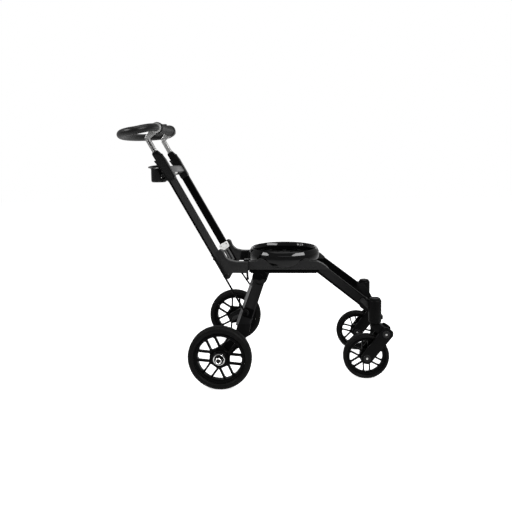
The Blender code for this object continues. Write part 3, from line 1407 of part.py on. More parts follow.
def make_release(label, side, group, look):
    """A finger lever under the beam that frees the fold, turning on its round top."""
    top = BEAM_LOW - SEAT_GAP
    low = top - RELEASE_LENGTH
    d = RELEASE_DEPTH
    across = BEAM_MIDDLE
    half = RELEASE_WIDTH / 2
    outline = [
        (RELEASE_X - d / 2 + 0.001, low + 0.006), (RELEASE_X + 0.001, low),
        (RELEASE_X + d / 2 + 0.003, low + 0.003), (RELEASE_X + d / 2, low + 0.012),
        *arc((RELEASE_X, top - d / 2), d / 2, 0, 180, 6),
    ]
    shape = side_prism(outline, across - half, across + half, side)
    finish(f"fold_release_{label}", shape, group, look["matte"])


def main():
    for thing in list(bpy.data.objects):
        bpy.data.objects.remove(thing, do_unlink=True)
    look = {
        "satin": material("satin_black_paint", (0.030, 0.030, 0.032), 0.42, 0.2),
        "matte": material("matte_black_plastic", (0.018, 0.018, 0.019), 0.55),
        "gloss": material("gloss_black_plastic", (0.008, 0.008, 0.009), 0.08),
        "plastic": material("smooth_black_plastic", (0.030, 0.030, 0.031), 0.38),
        "leather": material("black_leather", (0.022, 0.021, 0.021), 0.45),
        "silver": material("silver_metal", (0.72, 0.73, 0.74), 0.25, 1.0),
        "grey": material("grey_plastic", (0.22, 0.22, 0.22), 0.45),
        "steel": material("steel", (0.45, 0.45, 0.46), 0.30, 1.0),
        "tyre": material("tyre_rubber", (0.020, 0.020, 0.020), 0.75),
        "rim": material("rim_plastic", (0.014, 0.014, 0.014), 0.40),
        "hub_cap": material("hub_cap_metal", (0.80, 0.80, 0.80), 0.22, 1.0),
    }
    chassis = Group("chassis", (0, 0, 0))
    pivot = (PIVOT_X, 0, PIVOT_Z)
    handle = Group("handle", pivot, chassis)
    grip = Group("grip", leg_point(0, LEG_LENGTH), handle)
    rear_legs = Group("rear_legs", (KNUCKLE_X, 0, KNUCKLE_Z), chassis)
    brake = Group("brake", (CROSS_TUBE_X, 0, CROSS_TUBE_Z), rear_legs)

    make_hub(chassis, look)
    make_brace(chassis, look)
    make_crossbar(handle, look)
    make_cup_holder(handle, look)
    make_loop(grip, look)
    make_grip_bar(grip, look)
    make_cross_tube(rear_legs, look)
    make_brake_pedal(brake, look)

    top, _ = rod_ends()
    for label, side in SIDES.items():
        make_beam(label, side, chassis, look)
        make_front_leg(label, side, chassis, look)
        make_elbow(label, side, chassis, look)
        make_fold_pin(label, side, chassis, look)
        make_clamp(label, side, chassis, look)
        make_housing(label, side, chassis, look)
        make_knuckle(label, side, chassis, look)
        make_handle_leg(label, side, handle, look)
        make_sleeve(label, side, handle, look)
        make_latch(label, side, handle, look)
        make_strut(label, side, grip, look)
        make_rear_leg(label, side, rear_legs, look)
        make_axle_block(label, side, rear_legs, look)

        release_z = BEAM_LOW - SEAT_GAP - RELEASE_DEPTH / 2
        release = Group(f"release_{label}", (RELEASE_X, side * BEAM_MIDDLE, release_z), chassis)
        make_release(label, side, release, look)
        hinge = leg_point(-SLEEVE_DEPTH / 2, ADJUST_AT, side * LEG_HALF_SPACING)
        adjuster = Group(f"adjust_{label}", hinge, handle)
        make_adjust_lever(label, side, adjuster, look)
        link = Group(f"rod_{label}", (top.x, side * top.y, top.z), handle)
        make_link_rod(label, side, link, look)
        wheel = Group(f"rear_wheel_{label}", (0, side * REAR_HALF_TRACK, REAR_RADIUS), rear_legs)
        make_rear_wheel(label, side, wheel, look)

        caster = Group(f"caster_{label}", (SWIVEL_X, side * FRONT_HALF_TRACK, HOUSING_LOW), chassis)
        make_stem(label, side, caster, look)
        lock = Group(f"lock_{label}", (SWIVEL_X + HOUSING_RADIUS, side * FRONT_HALF_TRACK, LOCK_Z), chassis)
        make_swivel_lock(label, side, lock, look)
        arm = Group(f"arm_{label}", (KNEE_X, side * FRONT_HALF_TRACK, KNEE_Z), caster)
        make_fork(label, side, arm, look)
        front_wheel = Group(f"front_wheel_{label}", (WHEELBASE, side * FRONT_HALF_TRACK, FRONT_RADIUS), arm)
        make_front_wheel(label, side, front_wheel, look)


main()
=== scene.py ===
import math

import bmesh
import bpy
from mathutils import Matrix, Vector


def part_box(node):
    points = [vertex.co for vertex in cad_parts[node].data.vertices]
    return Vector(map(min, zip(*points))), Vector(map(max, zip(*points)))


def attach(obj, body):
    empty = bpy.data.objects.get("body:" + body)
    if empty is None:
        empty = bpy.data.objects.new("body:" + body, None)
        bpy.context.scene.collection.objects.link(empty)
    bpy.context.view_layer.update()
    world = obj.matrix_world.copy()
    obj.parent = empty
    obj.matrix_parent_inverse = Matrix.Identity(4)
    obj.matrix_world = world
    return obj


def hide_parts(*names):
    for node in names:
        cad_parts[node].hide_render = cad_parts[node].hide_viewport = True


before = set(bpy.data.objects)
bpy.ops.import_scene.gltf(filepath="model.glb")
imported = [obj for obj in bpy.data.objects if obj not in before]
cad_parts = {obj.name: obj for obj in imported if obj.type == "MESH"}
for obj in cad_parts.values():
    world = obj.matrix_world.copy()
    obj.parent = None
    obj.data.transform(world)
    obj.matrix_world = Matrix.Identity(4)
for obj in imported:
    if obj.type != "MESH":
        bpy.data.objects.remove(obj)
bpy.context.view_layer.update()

# The frame's own axes: X forwards from the rear axle, Y to the left, Z up from the ground
rear_low, rear_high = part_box("rear_tyre_left")
AXLE_X = (rear_low.x + rear_high.x) / 2
SIDES = {"left": 1, "right": -1}

# Sizes of the solids and places of the fittings, metres
GAP = 0.0003
RUNNING = 0.0006
REAR_RADIUS, REAR_TRACK = 0.125, 0.2846
FRONT_RADIUS, FRONT_TRACK, WHEELBASE = 0.092, 0.1615, 0.577
BEAM_INNER, BEAM_OUTER, BEAM_TOP, BEAM_LOW, COVER_LOW = 0.1045, 0.1365, 0.4728, 0.4273, 0.4393
BEAM_REAR, COVER_TIP = 0.103, 0.432
BEAM_MIDDLE = (BEAM_INNER + BEAM_OUTER) / 2
HUB_X, HUB_TOP, HUB_BASE = 0.2475, 0.511, 0.447
HUB_OUTER, HUB_INNER, HUB_FOOT, HUB_OPENING, HUB_SHELF = 0.1495, 0.1345, 0.137, 0.108, 0.011
PIVOT_X, PIVOT_Z, LEAN = 0.017, 0.419, math.radians(29.05)
LEG_SPACING, LEG_DEPTH, LEG_WIDTH, LEG_LENGTH = 0.132, 0.033, 0.024, 0.560
LEG_INNER, LEG_OUTER = LEG_SPACING - LEG_WIDTH / 2, LEG_SPACING + LEG_WIDTH / 2
CHEEK_OUTER = LEG_OUTER + RUNNING + 0.006
HORN_HEIGHT, HORN_DEPTH = 0.1067, 0.0215
SLEEVE_DEPTH, SLEEVE_WIDTH, SLEEVE_START, SLEEVE_TOP = 0.0365, 0.032, 0.452, 0.578
SLEEVE_INNER = LEG_SPACING - SLEEVE_WIDTH / 2
STRUT_DEPTH, STRUT_WIDTH, STRUT_BACK = 0.0195, 0.0175, 0.0045
NECK_AT, BAR_X, BAR_Z = 0.6375, -0.262, 1.0205
LOOP_RADIUS, LOOP_REAR, LOOP_HALF, WAIST_X = 0.0158, 0.4394, 0.250, -0.318
COLLAR_RADIUS, COLLAR_WIDTH, BAND_RADIUS, BAND_WIDTH = 0.0205, 0.019, 0.0238, 0.022
CUP_X, CUP_Y, CUP_FLOOR, CUP_TOP, CUP_RADIUS, CUP_LIP = -0.2718, -0.0733, 0.796, 0.8545, 0.0347, 0.0085
SWIVEL_X, HOUSING_RADIUS, HOUSING_LOW, HOUSING_TOP = 0.6115, 0.0255, 0.232, 0.331
KNEE_X, KNEE_Z = 0.6522, 0.1909
FORK_GAP, FORK_THICK, FORK_HALF, FORK_FOOT = 0.0262, 0.008, 0.0255, 0.023
KNUCKLE_X, KNUCKLE_Z = 0.150, 0.408
FRONT_LEG_FALL, FRONT_LEG_FOOT = math.radians(37.7), 0.1385
STUD_BACK, STUD_AT, ROD_FOOT_X, ROD_FOOT_Z, REAR_LEG_THICK = 0.0115, 0.083, 0.096, 0.274, 0.022
REAR_LEG_TOP, REAR_LEG_ACROSS, REAR_LEG_SPLAY = 0.388, 0.1255, 0.43
CROSSBAR_AT, LEVER_LOW, LEVER_TIP, STRUT_LOW = 0.491, 0.515, 0.549, 0.45
CLIP_TOP, CLIP_FOOT = Vector((-0.2655, 0.858)), Vector((-0.2400, 0.812))
TRIM_TOP, TRIM_FOOT = Vector((0.1134, 0.3746)), Vector((0.0588, 0.2272))
REAR_LEG_LINE = Vector((-0.3275, -0.9449))

# The camera, fitted to the photo: its place from the rear axle, its turns in radians and its lens in mm
CAMERA_PLACE, CAMERA_PITCH, CAMERA_YAW, CAMERA_ROLL = Vector((0.2871, -2.244, 0.890)), 0.10, -0.07045, 0.0145
CAMERA_LENS, CAMERA_SHIFT = 36.98, -0.0869


# ---------- shapes ----------

def flat(points, plane="XZ"):
    """One face through points of the side plane, or of the plan."""
    shape = bmesh.new()
    places = [Vector((a, 0, b)) if plane == "XZ" else Vector((a, b, 0)) for a, b in points]
    shape.faces.new([shape.verts.new(place) for place in places])
    return shape


def push(shape, step):
    """Extrudes a flat face along a vector into a closed solid."""
    made = bmesh.ops.extrude_face_region(shape, geom=shape.faces[:])
    moved = [item for item in made["geom"] if isinstance(item, bmesh.types.BMVert)]
    bmesh.ops.translate(shape, verts=moved, vec=step)
    bmesh.ops.recalc_face_normals(shape, faces=shape.faces)
    return shape


def rounded_edges(shape, edges, width, steps=2):
    """Rounds some edges of a shape."""
    bmesh.ops.bevel(
        shape, geom=edges, offset=width, offset_type="OFFSET", segments=steps, profile=0.5,
        affect="EDGES", material=-1, clamp_overlap=True,
    )
    return shape


def mirrored(shape, side):
    """The same shape for the left side, or turned over for the right."""
    if side < 0:
        bmesh.ops.scale(shape, verts=shape.verts, vec=(1, -1, 1))
        bmesh.ops.reverse_faces(shape, faces=shape.faces[:])
    return shape


def prism(points, near, far, side=1, edge=0.0, steps=3):
    """A side outline pushed across the frame, its rims rounded."""
    shape = push(flat(points), Vector((0, far - near, 0)))
    if edge:
        rims = [e for e in shape.edges if abs(e.verts[0].co.y - e.verts[1].co.y) < 1e-6]
        rounded_edges(shape, rims, edge, steps)
    bmesh.ops.translate(shape, verts=shape.verts, vec=(0, near, 0))
    return mirrored(shape, side)


def slab(corners, near, far, side=1, edge=0.0, steps=3):
    """An outline of (x, z, radius) corners, rounded and pushed across the frame."""
    return prism(eased(corners), near, far, side, edge, steps)


def upright(corners, height, steps=5):
    """An outline of (x, y, radius) corners in plan, rounded and pushed up."""
    return push(flat(eased(corners, steps), "XY"), Vector((0, 0, height)))


def oblong(left, right, low, high, radius):
    """The four corners of an upright outline."""
    return [(left, low, radius), (right, low, radius), (right, high, radius), (left, high, radius)]


def arc(centre, radius, start, end, steps):
    """Points on an arc, with its angles in degrees."""
    turns = [math.radians(start + (end - start) * step / steps) for step in range(steps + 1)]
    return [(centre[0] + radius * math.cos(turn), centre[1] + radius * math.sin(turn)) for turn in turns]


def eased(points, steps=5):
    """An outline of (x, z, radius) corners with each corner rounded to its radius."""
    outline = []
    count = len(points)
    for number, (x, z, radius) in enumerate(points):
        here = Vector((x, z))
        before = Vector(points[number - 1][:2]) - here
        after = Vector(points[(number + 1) % count][:2]) - here
        if radius <= 0:
            outline.append((x, z))
            continue
        half = before.angle(after) / 2
        reach = min(radius / math.tan(half), before.length * 0.48, after.length * 0.48)
        start, end = here + before.normalized() * reach, here + after.normalized() * reach
        for step in range(steps + 1):
            t = step / steps
            place = start * (1 - t) ** 2 + here * 2 * t * (1 - t) + end * t * t
            outline.append((place.x, place.y))
    return outline


def lathe(profile, sides, axis="Y"):
    """A profile of (radius, place along the axis) spun once round Y or Z."""
    shape = bmesh.new()
    if axis == "Y":
        places, around = [Vector((0, along, -radius)) for radius, along in profile], Vector((0, 1, 0))
    else:
        places, around = [Vector((radius, 0, along)) for radius, along in profile], Vector((0, 0, 1))
    verts = [shape.verts.new(place) for place in places]
    edges = [shape.edges.new(pair) for pair in zip(verts, verts[1:] + verts[:1])]
    bmesh.ops.spin(
        shape, geom=verts + edges, cent=(0, 0, 0), axis=around, dvec=(0, 0, 0), angle=math.tau,
        steps=sides, use_merge=True,
    )
    bmesh.ops.remove_doubles(shape, verts=shape.verts, dist=1e-6)
    bmesh.ops.recalc_face_normals(shape, faces=shape.faces)
    return shape


def both_ways(half):
    """A profile from its positive half, with the other half mirrored."""
    return [(radius, -along) for radius, along in half] + list(reversed(half))


def moved(shape, x=0.0, y=0.0, z=0.0):
    """A shape at its place."""
    bmesh.ops.translate(shape, verts=shape.verts, vec=(x, y, z))
    return shape


def turned(shape, degrees, axis="Y"):
    """A shape turned about an axis through the origin."""
    turn = Matrix.Rotation(math.radians(degrees), 3, axis)
    bmesh.ops.rotate(shape, verts=shape.verts, cent=(0, 0, 0), matrix=turn)
    return shape


def level_edges(shape):
    """The edges that lie level."""
    return [e for e in shape.edges if abs(e.verts[0].co.z - e.verts[1].co.z) < 1e-7]


def bar(start, end, radius, sides=24, edge=0.0):
    """A round bar between two places, its end rims rounded."""
    start, end = Vector(start), Vector(end)
    along = end - start
    place = Matrix.Translation((start + end) / 2) @ along.to_track_quat("Z", "Y").to_matrix().to_4x4()
    shape = bmesh.new()
    bmesh.ops.create_cone(
        shape, cap_ends=True, segments=sides, radius1=radius, radius2=radius, depth=along.length)
    if edge:
        rounded_edges(shape, level_edges(shape), edge, 2)
    bmesh.ops.transform(shape, matrix=place, verts=shape.verts)
    return shape


def swept(section, places):
    """A closed section carried through places, each a matrix."""
    shape = bmesh.new()
    verts = [shape.verts.new((x, y, 0)) for x, y in section]
    edges = [shape.edges.new((a, b)) for a, b in zip(verts, verts[1:] + verts[:1])]
    bmesh.ops.transform(shape, matrix=places[0], verts=verts)
    for before, after in zip(places, places[1:]):
        made = bmesh.ops.extrude_edge_only(shape, edges=edges)["geom"]
        fresh = [item for item in made if isinstance(item, bmesh.types.BMVert)]
        held = set(fresh)
        edges = [item for item in made if isinstance(item, bmesh.types.BMEdge) and set(item.verts) <= held]
        bmesh.ops.transform(shape, matrix=after @ before.inverted(), verts=fresh)
    bmesh.ops.holes_fill(shape, edges=[e for e in shape.edges if e.is_boundary], sides=0)
    bmesh.ops.recalc_face_normals(shape, faces=shape.faces)
    return shape


def joined(*parts):
    """Several shapes as one."""
    shape = bmesh.new()
    for part in parts:
        held = bpy.data.meshes.new("held")
        part.to_mesh(held)
        part.free()
        shape.from_mesh(held)
        bpy.data.meshes.remove(held)
    return shape


def worked(shape, cutters):
    """A shape with others cut from it."""
    things = []
    for part in (shape, *cutters):
        mesh = bpy.data.meshes.new("held")
        part.to_mesh(mesh)
        part.free()
        thing = bpy.data.objects.new("held", mesh)
        bpy.context.scene.collection.objects.link(thing)
        things.append(thing)
    for tool in things[1:]:
        step = things[0].modifiers.new("step", "BOOLEAN")
        step.operation, step.solver, step.object = "DIFFERENCE", "EXACT", tool
    graph = bpy.context.evaluated_depsgraph_get()
    made = bpy.data.meshes.new_from_object(things[0].evaluated_get(graph))
    result = bmesh.new()
    result.from_mesh(made)
    bpy.data.meshes.remove(made)
    for thing in things:
        held = thing.data
        bpy.data.objects.remove(thing)
        bpy.data.meshes.remove(held)
    return result


def leg_place(side):
    """From a handle leg's own axes to the frame: Z up the leg from its pivot, X towards the front."""
    return Matrix.Translation((PIVOT_X, side * LEG_SPACING, PIVOT_Z)) @ Matrix.Rotation(-LEAN, 4, "Y")


def on_leg(shape, side):
    """Moves a shape from a handle leg's own axes to its place."""
    bmesh.ops.transform(shape, matrix=leg_place(side), verts=shape.verts)
    return shape


def leg_point(forward, up, across=0.0):
    """A place given in a handle leg's own axes."""
    place = leg_place(1) @ Vector((forward, 0, up))
    return Vector((place.x, across, place.z))


def leg_bar(depth, width, corner, low, high, back=0.0):
    """An upright bar with rounded corners, in a handle leg's own axes."""
    d, w = depth / 2, width / 2
    return moved(upright(oblong(-d, d, -w, w, corner), high - low, 4), -back, 0, low)


def leg_slab(corners, near, far, side, edge=0.0, steps=3):
    """Corners in a handle leg's own axes, pushed out from one distance off the leg's middle to another."""
    return on_leg(slab(corners, near, far, side, edge, steps), side)


def leg_corner(forward, up, radius):
    """A corner given in a handle leg's own axes, for an outline in the frame's."""
    place = leg_point(forward, up)
    return (place.x, place.z, radius)


def seen_sideways(corners):
    """Places with their radii, as an outline's corners."""
    return [(place.x, place.z, radius) for place, radius in corners]


def leg_outline(corners):
    """Corners in a handle leg's own axes, as an outline in the frame's."""
    return [(place.x, place.z) for place in (leg_point(x, z) for x, z in eased(corners))]


def front_leg_line():
    """A front leg's bend, the way along it, the way up from it, and how long it is."""
    along = Vector((math.cos(FRONT_LEG_FALL), 0, -math.sin(FRONT_LEG_FALL)))
    up = Vector((math.sin(FRONT_LEG_FALL), 0, math.cos(FRONT_LEG_FALL)))
    bend = Vector((0.3815, 0, BEAM_LOW))
    return bend, along, up, (SWIVEL_X - HOUSING_RADIUS - 0.012 - bend.x) / along.x


# ---------- finishes ----------

SOCKET_KINDS = {"Colour": "NodeSocketColor"}
PLAIN = (0.02, 0.02, 0.02, 1)
SPRAYED = {"grain": 1500, "depth": 0.000012}

def new_group(build, output, **inputs):
    """An effect as a node group with named sockets, its nodes laid by a function that gives what comes out."""
    group = bpy.data.node_groups.new(build.__name__, "ShaderNodeTree")
    for label, value in inputs.items():
        kind = SOCKET_KINDS.get(label, "NodeSocketFloat")
        group.interface.new_socket(name=label, in_out="INPUT", socket_type=kind).default_value = value
    kind = SOCKET_KINDS.get(output, "NodeSocketFloat")
    group.interface.new_socket(name=output, in_out="OUTPUT", socket_type=kind)
    start, end = group.nodes.new("NodeGroupInput"), group.nodes.new("NodeGroupOutput")
    group.links.new(build(group, start.outputs), end.inputs[output])
    return group


def node(tree, kind, links=None, **settings):
    """A node with its settings and what feeds it: sockets by name or number."""
    made = tree.nodes.new(kind)
    for key, value in settings.items():
        setattr(made, key, value)
    for key, value in (links or {}).items():
        if isinstance(value, bpy.types.NodeSocket):
            tree.links.new(value, made.inputs[key])
        else:
            made.inputs[key].default_value = value
    return made


def calc(tree, operation, *values, **settings):
    """One step of arithmetic, as a socket."""
    return node(tree, "ShaderNodeMath", dict(enumerate(values)), operation=operation, **settings).outputs[0]


def noise(tree, place, scale, detail, **more):
    """A noise over places, as a socket."""
    given = {"Vector": place, "Scale": scale, "Detail": detail, **more}
    return node(tree, "ShaderNodeTexNoise", given).outputs[0]


def spread(tree, value, low, high, start=0.0, end=1.0):
    """A value spread from one range over another, as a socket."""
    return node(tree, "ShaderNodeMapRange", {"Value": value, 1: low, 2: high, 3: start, 4: end}).outputs[0]


def toned(tree, colour, share):
    """A colour made brighter or darker by a share, as a socket."""
    return node(tree, "ShaderNodeVectorMath", {0: colour, "Scale": share}, operation="SCALE").outputs[0]


def own_place(tree):
    """A place in a piece's own axes, as a socket."""
    return node(tree, "ShaderNodeTexCoord").outputs["Object"]


def moulded_grain(group, given):
    """The fine texture of a moulded or sprayed surface, as a height."""
    place = own_place(group)
    fine = noise(group, place, given["Scale"], 2.0)
    broad = noise(group, place, calc(group, "MULTIPLY", given["Scale"], 0.12), 3.0)
    return calc(group, "ADD", fine, calc(group, "MULTIPLY", broad, given["Coarse"]))


def tone_drift(group, given):
    """A colour that drifts a little over the surface."""
    centred = calc(group, "SUBTRACT", noise(group, own_place(group), given["Scale"], 5.0), 0.5)
    amount = calc(group, "MULTIPLY", given["Drift"], 2.0)
    return toned(group, given["Colour"], calc(group, "MULTIPLY_ADD", centred, amount, 1.0))


def handled_gloss(group, given):
    """A roughness that drifts, with faint wipe marks."""
    stretched = node(group, "ShaderNodeMapping", {
        "Vector": own_place(group), "Scale": (1.0, 2.6, 4.0), "Rotation": (0.4, 0.7, 0.2)})
    marks = noise(group, stretched.outputs[0], given["Scale"], 6.0, Roughness=0.65)
    centred = calc(group, "SUBTRACT", marks, 0.5)
    return calc(group, "MULTIPLY_ADD", centred, given["Drift"], given["Roughness"], use_clamp=True)


def worn_edges(group, given):
    """Where edges are rubbed, broken up by noise."""
    soft = node(group, "ShaderNodeBevel", {"Radius": given["Radius"]}, samples=4)
    own = node(group, "ShaderNodeNewGeometry")
    turn = node(group, "ShaderNodeVectorMath", {0: soft.outputs[0], 1: own.outputs["Normal"]},
                operation="DOT_PRODUCT")
    edge = spread(group, turn.outputs["Value"], 0.985, 0.86)
    broken = spread(group, noise(group, own_place(group), 130.0, 4.0), 0.42, 0.66)
    return calc(group, "MULTIPLY", calc(group, "MULTIPLY", edge, broken), given["Amount"])


def settled_dust(group, given):
    """A thin film of dust on what faces up."""
    own = node(group, "ShaderNodeNewGeometry")
    split = node(group, "ShaderNodeSeparateXYZ", {0: own.outputs["Normal"]})
    facing = spread(group, split.outputs["Z"], 0.2, 1.0)
    patchy = spread(group, noise(group, own_place(group), 60.0, 8.0, Roughness=0.7), 0.4, 0.75)
    return calc(group, "MULTIPLY", calc(group, "MULTIPLY", facing, patchy), given["Amount"])


def fading_tone(group, given):
    """A colour that darkens towards the front, between two places along X."""
    split = node(group, "ShaderNodeSeparateXYZ", {0: own_place(group)})
    share = spread(group, split.outputs["X"], given["Start"], given["End"], 1.0, given["Share"])
    return toned(group, given["Colour"], share)


fade_group = new_group(fading_tone, "Colour", Colour=PLAIN, Start=0.0, End=0.1, Share=0.3)
grain_group = new_group(moulded_grain, "Height", Scale=900.0, Coarse=0.3)
tone_group = new_group(tone_drift, "Colour", Colour=PLAIN, Drift=0.2, Scale=14.0)
gloss_group = new_group(handled_gloss, "Roughness", Roughness=0.4, Drift=0.1, Scale=22.0)
wear_group = new_group(worn_edges, "Mask", Radius=0.0012, Amount=0.5)
dust_group = new_group(settled_dust, "Mask", Amount=0.1)


def finish(name, colour, roughness, metallic=0.0, grain=900.0, depth=0.00004, coarse=0.3, drift=0.15, rub=0.10,
           wear=0.1, worn=(0.09, 0.09, 0.088), dust=0.012, specular=0.5, height=None, fade=None):
    """A finish with drifting tone and gloss, its own grain, rubbed edges and a little dust."""
    made = bpy.data.materials.new(name)
    made.use_nodes = True
    tree = made.node_tree
    shader = tree.nodes["Principled BSDF"]

    def effect(group, **inputs):
        return node(tree, "ShaderNodeGroup", inputs, node_tree=group).outputs[0]

    shade = effect(tone_group, Colour=(*colour, 1), Drift=drift)
    wear_mask, dust_mask = effect(wear_group, Amount=wear), effect(dust_group, Amount=dust)
    if fade:
        first, last, share = fade
        shade = effect(fade_group, Colour=shade, Start=AXLE_X + first, End=AXLE_X + last, Share=share)
    rubbed = node(tree, "ShaderNodeMix", {0: wear_mask, 6: shade, 7: (*worn, 1)}, data_type="RGBA")
    dusted = node(tree, "ShaderNodeMix", {0: dust_mask, 6: rubbed.outputs[2], 7: (0.32, 0.31, 0.29, 1)},
                  data_type="RGBA")
    gloss = effect(gloss_group, Roughness=roughness, Drift=rub)
    duller = calc(tree, "ADD", dust_mask, gloss, use_clamp=True)
    relief = height(tree) if height else effect(grain_group, Scale=grain, Coarse=coarse)
    bump = node(tree, "ShaderNodeBump", {"Height": relief, "Strength": 1.0, "Distance": depth})
    for label, value in (("Base Color", dusted.outputs[2]), ("Roughness", duller), ("Normal", bump.outputs[0])):
        tree.links.new(value, shader.inputs[label])
    shader.inputs["Metallic"].default_value = metallic
    shader.inputs["Specular IOR Level"].default_value = specular
    return made


def leather_height(tree):
    """Leather's cells and pores."""
    place = own_place(tree)
    warp = node(tree, "ShaderNodeTexNoise", {"Vector": place, "Scale": 180.0, "Detail": 3.0})
    bent = node(tree, "ShaderNodeVectorMath", {0: warp.outputs["Color"], 1: (0.0035, 0.0035, 0.0035), 2: place},
                operation="MULTIPLY_ADD")
    cells = node(tree, "ShaderNodeTexVoronoi", {"Vector": bent.outputs[0], "Scale": 620.0},
                 feature="DISTANCE_TO_EDGE")
    crease = spread(tree, cells.outputs[0], 0.0, 0.16)
    return calc(tree, "MULTIPLY_ADD", noise(tree, place, 55.0, 4.0), 0.8, crease)


def drawn_height(tree):
    """The fine lines of drawn and anodised tube, along the handle's lean."""
    along = node(tree, "ShaderNodeMapping", {
        "Vector": own_place(tree), "Rotation": (0.0, LEAN, 0.0), "Scale": (1500.0, 1500.0, 14.0)})
    return noise(tree, along.outputs[0], 1.0, 2.0)


looks = {name: finish(name, colour, roughness, **more) for name, colour, roughness, more in (
    ("satin_grey_paint", (0.0165, 0.0165, 0.0168), 0.42, dict(SPRAYED, wear=0.12, specular=0.22)),
    ("satin_charcoal_paint", (0.0105, 0.0105, 0.0108), 0.40, dict(SPRAYED, wear=0.12, specular=0.22)),
    ("shaded_grey_paint", (0.0095, 0.0095, 0.0098), 0.46,
     dict(SPRAYED, wear=0.10, specular=0.10, fade=(0.44, 0.56, 0.12))),
    ("satin_black_paint", (0.0046, 0.0046, 0.0048), 0.38, dict(SPRAYED, wear=0.10, specular=0.12)),
    # This near-black paint also serves as painted shade: on the handle legs' and front legs' unlit sides, in
    # the strip under each beam and over each knuckle's top.
    ("deep_black_paint", (0.0008, 0.0008, 0.0009), 0.42, dict(SPRAYED, wear=0.04, specular=0.03, dust=0.002)),
    ("matte_black_plastic", (0.0048, 0.0048, 0.0050), 0.46,
     dict(grain=1100, depth=0.00002, wear=0.10, specular=0.14)),
    # This near-black plastic also serves as painted shade on the elbows' inner faces.
    ("deep_black_plastic", (0.0018, 0.0018, 0.0019), 0.40,
     dict(grain=1100, depth=0.000015, wear=0.08, specular=0.06, dust=0.004)),
    ("caster_black_plastic", (0.0028, 0.0028, 0.0030), 0.38,
     dict(grain=1100, depth=0.000015, wear=0.10, specular=0.10, dust=0.008)),
    ("gloss_black_plastic", (0.0012, 0.0012, 0.0014), 0.06,
     dict(grain=260, depth=0.000002, rub=0.03, wear=0.02, dust=0.003, coarse=1.0, specular=0.25)),
    # This plastic also draws the thin line of painted shade along each beam cover.
    ("smooth_black_plastic", (0.0036, 0.0036, 0.0038), 0.28,
     dict(grain=1300, depth=0.00001, wear=0.08, specular=0.20, dust=0.008)),
    ("black_leather", (0.0042, 0.0041, 0.0040), 0.36,
     dict(depth=0.00003, rub=0.14, wear=0.0, height=leather_height, drift=0.2, specular=0.24, dust=0.003)),
    ("silver_metal", (0.46, 0.46, 0.455), 0.32,
     dict(metallic=0.85, depth=0.0000003, rub=0.08, wear=0.0, height=drawn_height, drift=0.05, dust=0.0)),
    ("grey_plastic", (0.082, 0.082, 0.083), 0.42,
     dict(grain=1200, depth=0.00003, wear=0.15, worn=(0.25, 0.25, 0.25), dust=0.01)),
    ("steel", (0.62, 0.62, 0.61), 0.20,
     dict(metallic=1.0, grain=700, depth=0.000004, dust=0.005, wear=0.1, worn=(0.8, 0.8, 0.8), drift=0.08)),
    ("tyre_rubber", (0.0024, 0.0023, 0.0023), 0.52,
     dict(grain=1400, depth=0.00003, rub=0.18, wear=0.12, worn=(0.03, 0.029, 0.028), dust=0.008, drift=0.35,
          specular=0.09)),
    ("rim_plastic", (0.0013, 0.0013, 0.0014), 0.32,
     dict(grain=1300, depth=0.00001, wear=0.08, specular=0.05, dust=0.003)),
    ("hub_cap_metal", (0.88, 0.88, 0.87), 0.09,
     dict(metallic=1.0, grain=400, depth=0.000003, rub=0.04, wear=0.0, drift=0.03, dust=0.0)),
    ("bright_metal", (0.84, 0.84, 0.83), 0.42,
     dict(metallic=0.4, grain=900, depth=0.000002, wear=0.0, drift=0.04, dust=0.0)),
    ("grip_black_plastic", (0.0048, 0.0048, 0.0049), 0.46,
     dict(grain=1300, depth=0.00001, wear=0.04, specular=0.14, dust=0.003)),
    ("unlit_black_plastic", (0.0016, 0.0016, 0.0017), 0.85,
     dict(grain=1100, depth=0.00002, wear=0.03, specular=0.02, dust=0.0)),
    ("white_plastic", (0.62, 0.62, 0.60), 0.45, dict(worn=(0.8, 0.8, 0.8))),
    ("stitching_thread", (0.012, 0.0117, 0.0113), 0.6,
     dict(grain=2500, depth=0.00005, wear=0.0, specular=0.2)),
)}


def piece(name, shape, look, body, stands_for=(), placed=False, smooth=34):
    """A finished piece: at its place, shaded, riding on its body, and standing for its solids."""
    if not placed:
        moved(shape, AXLE_X)
    mesh = bpy.data.meshes.new(name)
    shape.to_mesh(mesh)
    shape.free()
    mesh.polygons.foreach_set("use_smooth", [True] * len(mesh.polygons))
    mesh.set_sharp_from_angle(angle=math.radians(smooth))
    made = bpy.data.objects.new(name, mesh)
    made.data.materials.append(looks[look])
    bpy.context.scene.collection.objects.link(made)
    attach(made, body)
    if stands_for:
        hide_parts(*([stands_for] if isinstance(stands_for, str) else stands_for))
    return made


def leg_piece(name, shape, side, look, body="handle", stands_for=()):
    """A piece made on the left handle leg in that leg's own axes, for either side."""
    return piece(name, on_leg(mirrored(shape, side), side), look, body, stands_for)


def softened(node_name, look, body, width, angle=28):
    """A solid's own shape with its edges rounded, in place of it."""
    shape = bmesh.new()
    shape.from_mesh(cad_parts[node_name].data)
    bmesh.ops.remove_doubles(shape, verts=shape.verts, dist=1e-5)
    bmesh.ops.dissolve_limit(shape, angle_limit=math.radians(0.6), verts=shape.verts, edges=shape.edges,
                             use_dissolve_boundaries=False)
    sharp = [e for e in shape.edges if len(e.link_faces) == 2 and e.calc_face_angle(0) > math.radians(angle)]
    return piece(f"{node_name}_shell", rounded_edges(shape, sharp, width), look, body, node_name, placed=True)


def bolt_head(radius, height):
    """A round bolt head with a hexagon socket, facing along Y."""
    head = lathe([(0, 0), (radius, 0), (radius, height * 0.55), (radius * 0.86, height), (0, height)], 28)
    key = bar((0, height * 0.35, 0), (0, height * 1.5, 0), radius * 0.48, 6)
    return worked(head, [key])


# ---------- seat hub ----------

